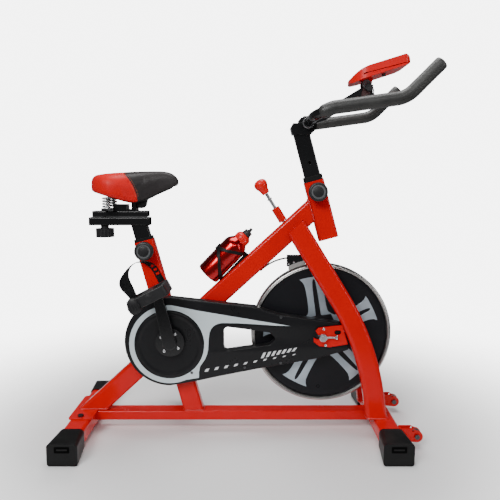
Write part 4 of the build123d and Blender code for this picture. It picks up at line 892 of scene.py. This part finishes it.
def make_saddle():
    bm = bmesh.new()
    rings = []
    for k in range(SADDLE_STEPS + 1):
        t = k / SADDLE_STEPS
        x = SADDLE_REAR + SADDLE_LONG * (0.5 - 0.5 * cos(pi * t)) * 0.45 + SADDLE_LONG * t * 0.55
        rings.append([bm.verts.new(p) for p in saddle_ring(x)])
    bridge(bm, rings)
    close_ends(bm, rings)
    return solid_mesh("saddle_pad", bm)


def apply_all(thing):
    """Applies every modifier of a piece to its mesh."""
    depsgraph = bpy.context.evaluated_depsgraph_get()
    done = bpy.data.meshes.new_from_object(thing.evaluated_get(depsgraph))
    thing.modifiers.clear()
    thing.data = done


CLOTH_STEPS = 20


def inflate(thing, cap_mm):
    """Remeshes a pad and lets cloth pressure fill it, moving no point further than the cap."""
    remesh = thing.modifiers.new("remesh", "REMESH")
    remesh.mode = "VOXEL"
    remesh.voxel_size = 0.005
    apply_all(thing)
    smooth = thing.modifiers.new("smooth", "SMOOTH")
    smooth.iterations = 3
    smooth.factor = 0.4
    apply_all(thing)
    before = [v.co.copy() for v in thing.data.vertices]
    pins = thing.vertex_groups.new(name="pin")
    for v in thing.data.vertices:
        under = lerp_table(UNDER, v.co.x / MM) * MM
        weight = max(0.0, min(1.0, 1.0 - (v.co.z - under - 0.006) / 0.02))
        if weight > 0:
            pins.add([v.index], weight, "REPLACE")
    cloth = thing.modifiers.new("cloth", "CLOTH")
    settings = cloth.settings
    settings.use_pressure = True
    settings.uniform_pressure_force = 4.0
    settings.tension_stiffness = settings.compression_stiffness = 25
    settings.bending_stiffness = 2.0
    settings.effector_weights.gravity = 0.0
    settings.vertex_group_mass = "pin"
    scene = bpy.context.scene
    for step in range(1, CLOTH_STEPS + 1):
        scene.frame_set(step)
    apply_all(thing)
    scene.frame_set(1)
    for v, start in zip(thing.data.vertices, before):
        move = v.co - start
        if move.length > cap_mm * MM:
            v.co = start + move.normalized() * cap_mm * MM
    thing.vertex_groups.clear()
    subdivide = thing.modifiers.new("subdivide", "SUBSURF")
    subdivide.levels = subdivide.render_levels = 1
    apply_all(thing)


def seam_x(z):
    """Where the seam between the red and the black panel lies, along X, at this height."""
    t = max(0.0, min(1.0, (796 - z) / 84.0))
    drop = 60.0 * t ** 0.62 - 13.0 * t ** 2.5
    return -351.0 + drop


saddle = make_saddle()
inflate(saddle, 5.0)
seam = saddle.data.attributes.new("seam", "FLOAT", "POINT")
for index, v in enumerate(saddle.data.vertices):
    gap = v.co.x / MM - seam_x(v.co.z / MM)
    seam.data[index].value = gap / 10.0
    # the cover pulls in along the seam
    v.co -= v.normal * (1.5 * exp(-(gap / 3.2) ** 2)) * MM
low_corner, high_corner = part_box("saddle_cushion")
for v in saddle.data.vertices:
    for k in range(3):
        v.co[k] = min(max(v.co[k], low_corner[k] - (0.008 if k == 2 else 0.001)), high_corner[k] + 0.002)
saddle.data.shade_smooth()
saddle.data.materials.clear()
saddle.data.materials.append(M["saddle_cover"])
adopt(saddle, "saddle", "saddle_cushion")

tree = BVHTree.FromPolygons([v.co.copy() for v in saddle.data.vertices],
    [tuple(p.vertices) for p in saddle.data.polygons])


def seam_point(angle, shift):
    """The cushion's surface at the seam, seen from a line inside it at this angle from the rider's right."""
    direction = Vector((0, -cos(angle), sin(angle)))
    x = -330.0
    for _ in range(8):
        hit, normal, _, _ = tree.ray_cast(Vector((x, 0, 745)) * MM, direction)
        if hit is None:
            return None
        x = seam_x(hit.z / MM) + shift
    return hit, normal


bm = bmesh.new()
STITCHES = 150
for offset in (-3.6, 3.6):
    points = []
    for k in range(STITCHES + 1):
        found = seam_point(radians(-26 + 232 * k / STITCHES), offset)
        if found:
            points.append(found)
    for k in range(0, len(points) - 1, 2):
        (a, na), (b, nb) = points[k], points[k + 1]
        if (b - a).length > 0.012:
            continue
        a, b = a / MM, b / MM
        middle = a.lerp(b, 0.5) + (na + nb) * 0.35
        sweep(bm, [a - na * 0.3, a.lerp(middle, 0.5) + na * 0.2, middle, b.lerp(middle, 0.5) + nb * 0.2,
            b - nb * 0.3], ring_section(0.42, 6))
piece("saddle_stitches", bm, "saddle", "saddle_cover", "thread_red", angle=80)


bm = bmesh.new()
rings = []
for k in range(40):
    x = -434 + 224 * k / 39
    w, low = 0.84 * lerp_table(HALF, x), lerp_table(UNDER, x)
    rings.append([bm.verts.new((x, w * y, low + z)) for y, z in ((-1, -4), (-0.9, -6.5), (0.9, -6.5), (1, -4),
        (1, 2), (-1, 2))])
bridge(bm, rings)
close_ends(bm, rings)
piece("saddle_tray", bm, "saddle", "cap_plastic", replaces="saddle_shell", angle=40)

bm = bmesh.new()
outline = rounded_outline([(-313, 716), (-312, 696), (-306, 689), (-294, 689), (-288, 696), (-281, 722)], 5, 5)
close_ends(bm, stack(bm, outline, [(3, -19), (1, -18.2), (0, -16.5), (0, 16.5), (1, 18.2), (3, 19)]))
piece("saddle_nose_boss", bm, "saddle", "cap_plastic", angle=40)


# ------ handlebar foam
BAR_Y = 215.0
BAR_X, BAR_Z = 195.0, 938.0
CLAMP_HALF_Y = 23.0
BAR_PATH = [(195, 938), (240, 957), (428.5, 982.5), (514.5, 1068.5)]
GRIP_FROM_Y = 208.0
bm = bmesh.new()
for hand in SIDES:
    corners = [(BAR_X, hand * 40, BAR_Z)] + [(x, hand * BAR_Y, z) for x, z in BAR_PATH]
    raw = [p for p in fillet_path(corners, [38, 50, 75], 14) if abs(p.y) > GRIP_FROM_Y]
    dense = []
    for a, b in zip(raw, raw[1:]):
        steps = max(1, int((b - a).length / 6))
        dense += [a.lerp(b, k / steps) for k in range(steps)]

    def section(i, total):
        swell = 0.22 * noise.noise(Vector((i * 0.11, hand * 3.0, 1.0)))
        r = 18.0 + swell
        if i < 2:
            r = (15.4, 17.3)[i]
        if i >= total - 3:
            r = (17.7, 16.6, 14.0)[i - total + 3]
        return ring_section(r, 32)(i, total)

    tip = raw[-1]
    tip_dir = (tip - dense[-1]).normalized()
    sweep(bm, dense + [tip, tip + tip_dir * 2.2, tip + tip_dir * 3.6], section)
piece("grip_foam", bm, "handlebar", "foam", replaces="handlebar_grips", angle=50)


# ------ pedals
CRANK_ARM = 165
DECK_TOP = 16.6
STRAP_U, STRAP_Y = 38.0, 36.0


def pedal_frame(hand):
    """The pedal's centre, and its own length and upward directions."""
    x, z = on_circle(*BB, CRANK_ARM, radians(103.0 + (0 if hand < 0 else 180)))
    tilt = radians(27.0)
    u = Vector((cos(tilt), 0, sin(tilt)))
    w = Vector((-sin(tilt), 0, cos(tilt)))
    return Vector((x, hand * 155.0, z)), u, w


def pedal_body(hand, word):
    centre, u, w = pedal_frame(hand)
    place = Matrix((u, ACROSS, w)).transposed().to_4x4()
    place.translation = centre
    # the plate is drawn in x and z and then laid flat
    part = bmesh.new()
    outer = rounded_outline([(-54, -48), (54, -48), (54, 48), (-54, 48)], 12, 6)
    turns = [pi / 2 * k / 3 for k in range(4)]
    levels = [(0, -13)] + [(3 * (1 - cos(a)), -16 + 3 * (1 - sin(a))) for a in turns]
    walls = [stack(part, outer, levels[::-1] + [(amount, -y) for amount, y in levels])]
    for x in (-29, 29):
        window = rounded_outline([(x - 12.5, -34), (x + 12.5, -34), (x + 12.5, 34), (x - 12.5, 34)], 5, 4)
        walls.append(stack(part, window, [(-1.2, -16), (0, -14.8), (0, 14.8), (-1.2, 16)]))
    fill(part, [wall[0] for wall in walls])
    fill(part, [wall[-1] for wall in walls])
    # gripping teeth along the long edges, above and below
    for sy in SIDES:
        for k in range(9):
            for x in (-47.5, 47.5):
                rings = [[part.verts.new((x + half * a, y, -32 + 8 * k + half * b)) for a,
                    b in ((-1, -1), (1, -1), (1, 1), (-1, 1))] for half, y in ((2.4, sy * 15.6), (1.1, sy * 17.6))]
                bridge(part, rings)
                part.faces.new(rings[-1])
    for vert in part.verts:
        vert.co = place @ Vector((vert.co.x, vert.co.z, vert.co.y))
    # axle barrel and its dust cap
    lathe(part, centre + ACROSS * hand * 46.5, -ACROSS * hand, [(7.2, -1), (11, -1.0), (13.6, 0.6), (14, 3),
        (13, 20), (12.4, 46), (13, 73), (14, 90), (13.4, 93), (11, 94.4), (7.2, 94.4), (7.2, -1)], 40)
    lathe(part, centre + ACROSS * hand * 47.2, ACROSS * hand, [(0, 1.8), (4, 1.8), (8.6, 1.5), (10.5, 0.8),
        (11.2, -0.6)], 32)
    piece(f"pedal_body_{word}", part, f"pedal_{word}", "knob_plastic", replaces=f"pedal_{word}", angle=40)


def pedal_strap(hand, word):
    centre, u, w = pedal_frame(hand)
    reach = hypot(STRAP_U, STRAP_Y)
    along = (u * STRAP_U - ACROSS * (hand * STRAP_Y)).normalized()
    across = w.cross(along)
    reach -= 1.5
    arc = [pi - pi * k / 24 for k in range(25)]
    path = [(-reach, DECK_TOP), (-reach, 33)] + [(reach * cos(a), 50 + 49.0 * sin(a)) for a in arc]
    path += [(reach, 33), (reach, DECK_TOP)]
    dense = []
    for (a0, b0), (a1, b1) in zip(path, path[1:]):
        steps = max(1, int(hypot(a1 - a0, b1 - b0) / 3.0))
        dense += [(a0 + (a1 - a0) * k / steps, b0 + (b1 - b0) * k / steps) for k in range(steps)]
    dense.append(path[-1])
    count = len(dense)
    bm = bmesh.new()
    columns = 9
    facing = u if across.dot(u) > 0 else -u
    grid = []
    for i, (a, b) in enumerate(dense):
        t = i / (count - 1)
        tangent = along * (dense[min(i + 1, count - 1)][0] - dense[max(i - 1, 0)][0]) \
            + w * (dense[min(i + 1, count - 1)][1] - dense[max(i - 1, 0)][1])
        tangent.normalize()
        # the band faces the rider's side at its two feet and turns square to its path on top
        turned = facing.lerp(across, sin(pi * t) ** 3)
        turned = (turned - tangent * turned.dot(tangent)).normalized()
        outward = turned.cross(tangent)
        if outward.dot(along * a + w * (b - 45)) < 0:
            outward = -outward
        belly = exp(-((t - 0.24) / 0.13) ** 2)
        half = 9.5 + 8.5 * exp(-((t - 0.21) / 0.15) ** 2)
        middle = centre + along * (a - 5.0 * belly) + w * b
        row = []
        for c in range(columns):
            s = -1 + 2 * c / (columns - 1)
            row.append(bm.verts.new(middle + outward * (1.6 * (1 - s * s)) + turned * (s * half)))
        grid.append(row)
    slots = {(int(count * t) + i, c) for t in (0.74, 0.80, 0.86) for i in (0, 1) for c in range(2, 6)}
    for i in range(count - 1):
        for c in range(columns - 1):
            if (i, c) not in slots:
                bm.faces.new((grid[i][c], grid[i + 1][c], grid[i + 1][c + 1], grid[i][c + 1]))
    bmesh.ops.solidify(bm, geom=bm.faces[:], thickness=2.4)
    piece(f"toe_strap_{word}", bm, f"pedal_{word}", "strap_rubber", replaces=f"pedal_strap_{word}", angle=45)
    # buckle on the outer rear corner: a ridged block
    bm = bmesh.new()
    side_at = centre + ACROSS * (hand * 48.0)
    outline = rounded_outline([(-60, -20), (-44, -25), (-30, -21), (-27, -6), (-33, 16), (-46, 23), (-58, 14),
        (-63, -4)], 4, 4)
    rings = [[bm.verts.new(side_at + u * a + w * b + ACROSS * (hand * depth)) for a, b in inset(outline, shrink)]
        for depth, shrink in ((-26.0, 1.5), (-24.5, 0.3), (3.0, 0.0), (5.2, 0.8), (6.2, 2.4))]
    bridge(bm, rings)
    close_ends(bm, rings)
    for k in range(4):
        mid = side_at + u * (-56 + 7.5 * k) + w * (-3 - 1.0 * k) + ACROSS * (hand * 6.0)
        tall = 11.0 - 0.6 * k
        sweep(bm, [mid - w * tall, mid - w * tall * 0.4, mid + w * tall * 0.4, mid + w * tall],
            ring_section(1.5, 8), up=ACROSS)
    piece(f"strap_buckle_{word}", bm, f"pedal_{word}", "strap_rubber")
    bm = bmesh.new()
    pin = side_at + u * -50 + w * 17 + ACROSS * (hand * 4.5)
    sweep(bm, [pin - u * 5.5, pin + u * 5.5], ring_section(1.7, 12), up=ACROSS)
    piece(f"buckle_pin_{word}", bm, f"pedal_{word}", "bolt_chrome")


for hand, word in ((-1, "right"), (1, "left")):
    pedal_body(hand, word)
    pedal_strap(hand, word)


# ------ locking pins, knobs
def pin_knob(body, at):
    x, z, name = at.x, at.z, body + "_knob"
    bm = bmesh.new()
    lathe(bm, (x, -36.3, z), (0, -1, 0), [(5, -22), (5, 0), (18, 0), (18, 5.4), (19, 6), (26.2, 6), (27.6, 7.4),
        (28, 10), (28, 21), (27.2, 24), (25, 25.6), (22.6, 26.0), (21.6, 25.4), (21, 24.2), (15.6, 24.2),
        (15.0, 25.2), (13.5, 25.9), (0, 26.0)], 64)
    lathe(bm, (x, -36.3, z), (0, -1, 0), [(5, -22), (0, -22.2)], 64)
    piece(name, bm, body, "knob_plastic", replaces=body, angle=32)
    bm = bmesh.new()
    lathe(bm, (x, -36.3, z), (0, -1, 0), [(15.7, 24.1), (15.9, 24.5), (20.7, 24.5), (20.9, 24.1)], 64)
    for k in range(12):
        a = 2 * pi * k / 12
        spot = Vector((x + 18.3 * cos(a), -36.3 - 24.4, z + 18.3 * sin(a)))
        lathe(bm, spot, (0, -1, 0), [(0, 0.5), (0.8, 0.5), (1.1, 0)], 8)
    piece(name + "_ring", bm, body, "knob_plastic", "pin_ring")


pin_knob("seat_pin", CRANK_AT + UP_DIR * 309 - UP_DIR * 28)
pin_knob("handlebar_pin", head_at + UP_DIR * 56 - UP_DIR * 33)

ROD = radians(32.1)
rod_up = Vector((-sin(ROD), 0, cos(ROD)))
rod_at = Vector((62, 0, 752))
bm = bmesh.new()
lathe(bm, rod_at, rod_up, [(5.2, -23.3), (9.6, -23.5), (10.6, -22.8), (12, -19), (13, -13), (14.5, -8), (17.5, -2),
    (19.6, 3), (20.3, 9), (19.6, 13.5), (17.8, 17), (14.5, 20), (9.5, 22.6), (4, 23.6), (0, 23.8)], 56)
lathe(bm, rod_at, rod_up, [(5.2, -23.3), (0, -23.3)], 56)
piece("brake_knob_grip", bm, "brake_knob", "red_plastic", replaces="brake_knob", angle=40)

# ------ bottle
RISE = radians(46.0)
bottle_up = Vector((cos(RISE), 0, sin(RISE)))
bottle_at = Vector((-104, 0, 486.5))
bm = bmesh.new()
lathe(bm, bottle_at, bottle_up, [(0, 3.2), (24, 3.2), (28, 1.0), (32, 0.2), (35, 1.4), (36.6, 4), (37, 8), (37, 60),
    (36.7, 61.5), (36.7, 63.5), (37, 65), (37, 117), (36.4, 122), (34.8, 127), (32.2, 132), (28.8, 137),
    (25.6, 140.5), (23.6, 143), (22.4, 145), (0, 145)], 72)
piece("bottle_shell", bm, "bottle", "bottle_metal", replaces="bottle", angle=40)
bm = bmesh.new()
lathe(bm, bottle_at, bottle_up, [(21.5, 143.2), (23.0, 143.6), (23.4, 145), (23.4, 157), (22.6, 159.6)], 224,
    lobes=ribs(28, 0.018))
lathe(bm, bottle_at, bottle_up, [(22.6, 159.4), (21.6, 161.8), (19, 164.6), (16.5, 167.2), (14.6, 168), (9, 168),
    (9, 176), (0, 176)], 72)
piece("bottle_lid", bm, "bottle", "bottle_metal", "red_plastic", replaces="bottle_cap", angle=40)
bm = bmesh.new()
lathe(bm, bottle_at, bottle_up, [(9.2, 168.4), (13.2, 168.4), (14, 169.4), (14, 172), (12.8, 173.5), (12.2, 179),
    (12.6, 181.5), (11.6, 183), (6.4, 184.2), (5.2, 186), (4.6, 188), (4.8, 193), (4.0, 195), (0, 195)], 48)
lathe(bm, bottle_at, bottle_up, [(9.2, 168.4), (9.2, 176.3), (0, 176.3)], 48)
piece("bottle_spout", bm, "bottle_nozzle", "knob_plastic", replaces="bottle_nozzle", angle=40)

# ------ console lens and bezel, seam line, end-cap slots and bracket parts
SLOPE = radians(17.0)
deck_u = Vector((cos(SLOPE), 0, sin(SLOPE)))
deck_n = Vector((-sin(SLOPE), 0, cos(SLOPE)))
deck_o = Vector((372, 0, 1097.4))


def deck_rings(bm, outline, levels):
    """Rings over the console's sloping top, each moved inwards by an amount and raised by a height."""
    rings = [[bm.verts.new(deck_o + deck_u * a + Vector((0, b, 0)) + deck_n * up) for a,
        b in inset(outline, amount)] for amount, up in levels]
    bridge(bm, rings)
    return rings


def deck_plate(name, corners, radius, height, bevel, material, hole=None):
    bm = bmesh.new()
    outline = rounded_outline(corners, radius, 6)
    rings = deck_rings(bm, outline, [(0, -1.5), (0, height - bevel), (bevel * 0.35, height - bevel * 0.3),
        (bevel, height)])
    if hole:
        inner = rounded_outline(hole, max(1.0, radius - 3), 6)
        inner_rings = deck_rings(bm, inner, [(-bevel, height), (0, height - bevel), (0, -1.5)])
        fill(bm, [rings[-1], inner_rings[0]])
    else:
        bm.faces.new(rings[-1])
    piece(name, bm, "console", "red_plastic", material, angle=40)


deck_plate("console_bezel", [(16, -50), (80, -50), (80, 50), (16, 50)], 9, 1.8, 1.2, "knob_plastic",
    hole=[(21, -45), (75, -45), (75, 45), (21, 45)])
deck_plate("console_lens", [(21.2, -44.8), (74.8, -44.8), (74.8, 44.8), (21.2, 44.8)], 6, 0.5, 0.4, "lens")

# painted shade: a thin dark line round the console stands in for the shade in its seam's gap
bm = bmesh.new()
plan = rounded_outline([(345, -64), (481.5, -64), (481.5, 64), (345, 64)], [0, 22, 22, 0], 8)
loop = [Vector((x, y, 1063.0 + (x - 315.5) * 0.255)) for x, y in inset(plan, 0.35)]
first = next(i for i, p in enumerate(loop) if p.x < 346 and p.y > 0)
sweep(bm, loop[first + 1:] + loop[:first + 1] if first + 1 < len(loop) else loop, ring_section(0.85, 8))
piece("console_seam_shade", bm, "console", "knob_plastic", "hole_dark", angle=80)

bm = bmesh.new()
wheels = bmesh.new()
for node_name in ("rear_stabiliser", "front_stabiliser"):
    low_corner, high_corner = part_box(node_name)
    middle = (low_corner[0] + high_corner[0]) / 2 / MM
    caps_low, caps_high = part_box("end_caps")
    for hand, face in ((-1, caps_low[1] / MM), (1, caps_high[1] / MM)):
        # painted shade: a thin dark sheet on each end cap's face stands in for the shaded inside of its slot
        slot_shade_outline = rounded_outline([(middle - 21, 37.5), (middle + 21, 37.5), (middle + 21, 55.5), (middle - 21, 55.5)],
            3, 4)
        fill(bm, [stack(bm, slot_shade_outline, [(0, face - hand * 0.3), (0, face + hand * 0.15), (0.8, face + hand * 0.15)])[-1]])
        lathe(wheels, (middle - 15, face - hand * 9.2, 46.5), (1, 0, 0),
            [(0, 0), (9.0, 0), (9.8, 0.8), (9.8, 29.2), (9.0, 30), (0, 30)], 40, lobes=ribs(10, 0.012))
piece("cap_slot_shades", bm, "frame", "cap_plastic", "hole_dark")
piece("cap_slot_wheels", wheels, "frame", "cap_plastic")

bm = bmesh.new()
for hand in SIDES:
    outline = rounded_outline([(349, 1014), (377, 1022), (377, 1040), (355, 1040)], 3, 4)
    bm.faces.new(stack(bm, outline, [(0, hand * 12.0), (0, hand * 15.2), (0.9, hand * 16.0)])[-1])
piece("bracket_cheeks", bm, "handlebar", "black_paint", "dark_maroon", angle=40)

bm = bmesh.new()
for hand in SIDES:
    lathe(bm, (364.5, hand * 15, 1050), (0, hand, 0), [(0, -2), (12.5, -2), (12.5, 4.0), (11.4, 5.2), (9.6, 5.2),
        (9.0, 4.2), (5.5, 4.0), (4.8, 5.2), (0, 5.4)], 48)
piece("bracket_discs", bm, "console", "knob_plastic", "pin_ring", angle=40)

bm = bmesh.new()
sweep(bm, fillet_path([(383, -15, 1042), (384, -17, 1024), (394, -17, 1010)], [10], 6), ring_section(2.3, 12))
sweep(bm, fillet_path([(376, -17, 1014), (386, -17, 1009), (400, -17, 1012)], [8], 6), ring_section(1.6, 12))
for hand in SIDES:
    lathe(bm, (BAR_X, hand * CLAMP_HALF_Y, BAR_Z), (0, hand, 0), [(12.8, -1), (16.0, -1), (16.6, 0.4), (16.6, 3.0),
        (15.6, 4.2), (13.8, 4.4), (12.8, 3.8), (12.8, -1)], 48)
piece("bracket_lever", bm, "handlebar", "bolt_chrome", angle=40)

bm = bmesh.new()
sweep(bm, fillet_path([(412, -22, 1082), (412, -22, 1056), (390, -24, 1053)], [5], 6), ring_section(3.4, 14))
lathe(bm, (412, -22, 1080), (0, 0, -1), [(0, -3), (5.6, -3), (6.2, 0), (5.4, 6), (4.0, 9), (0, 9)], 20)
piece("bracket_wing", bm, "console", "knob_plastic", angle=50)
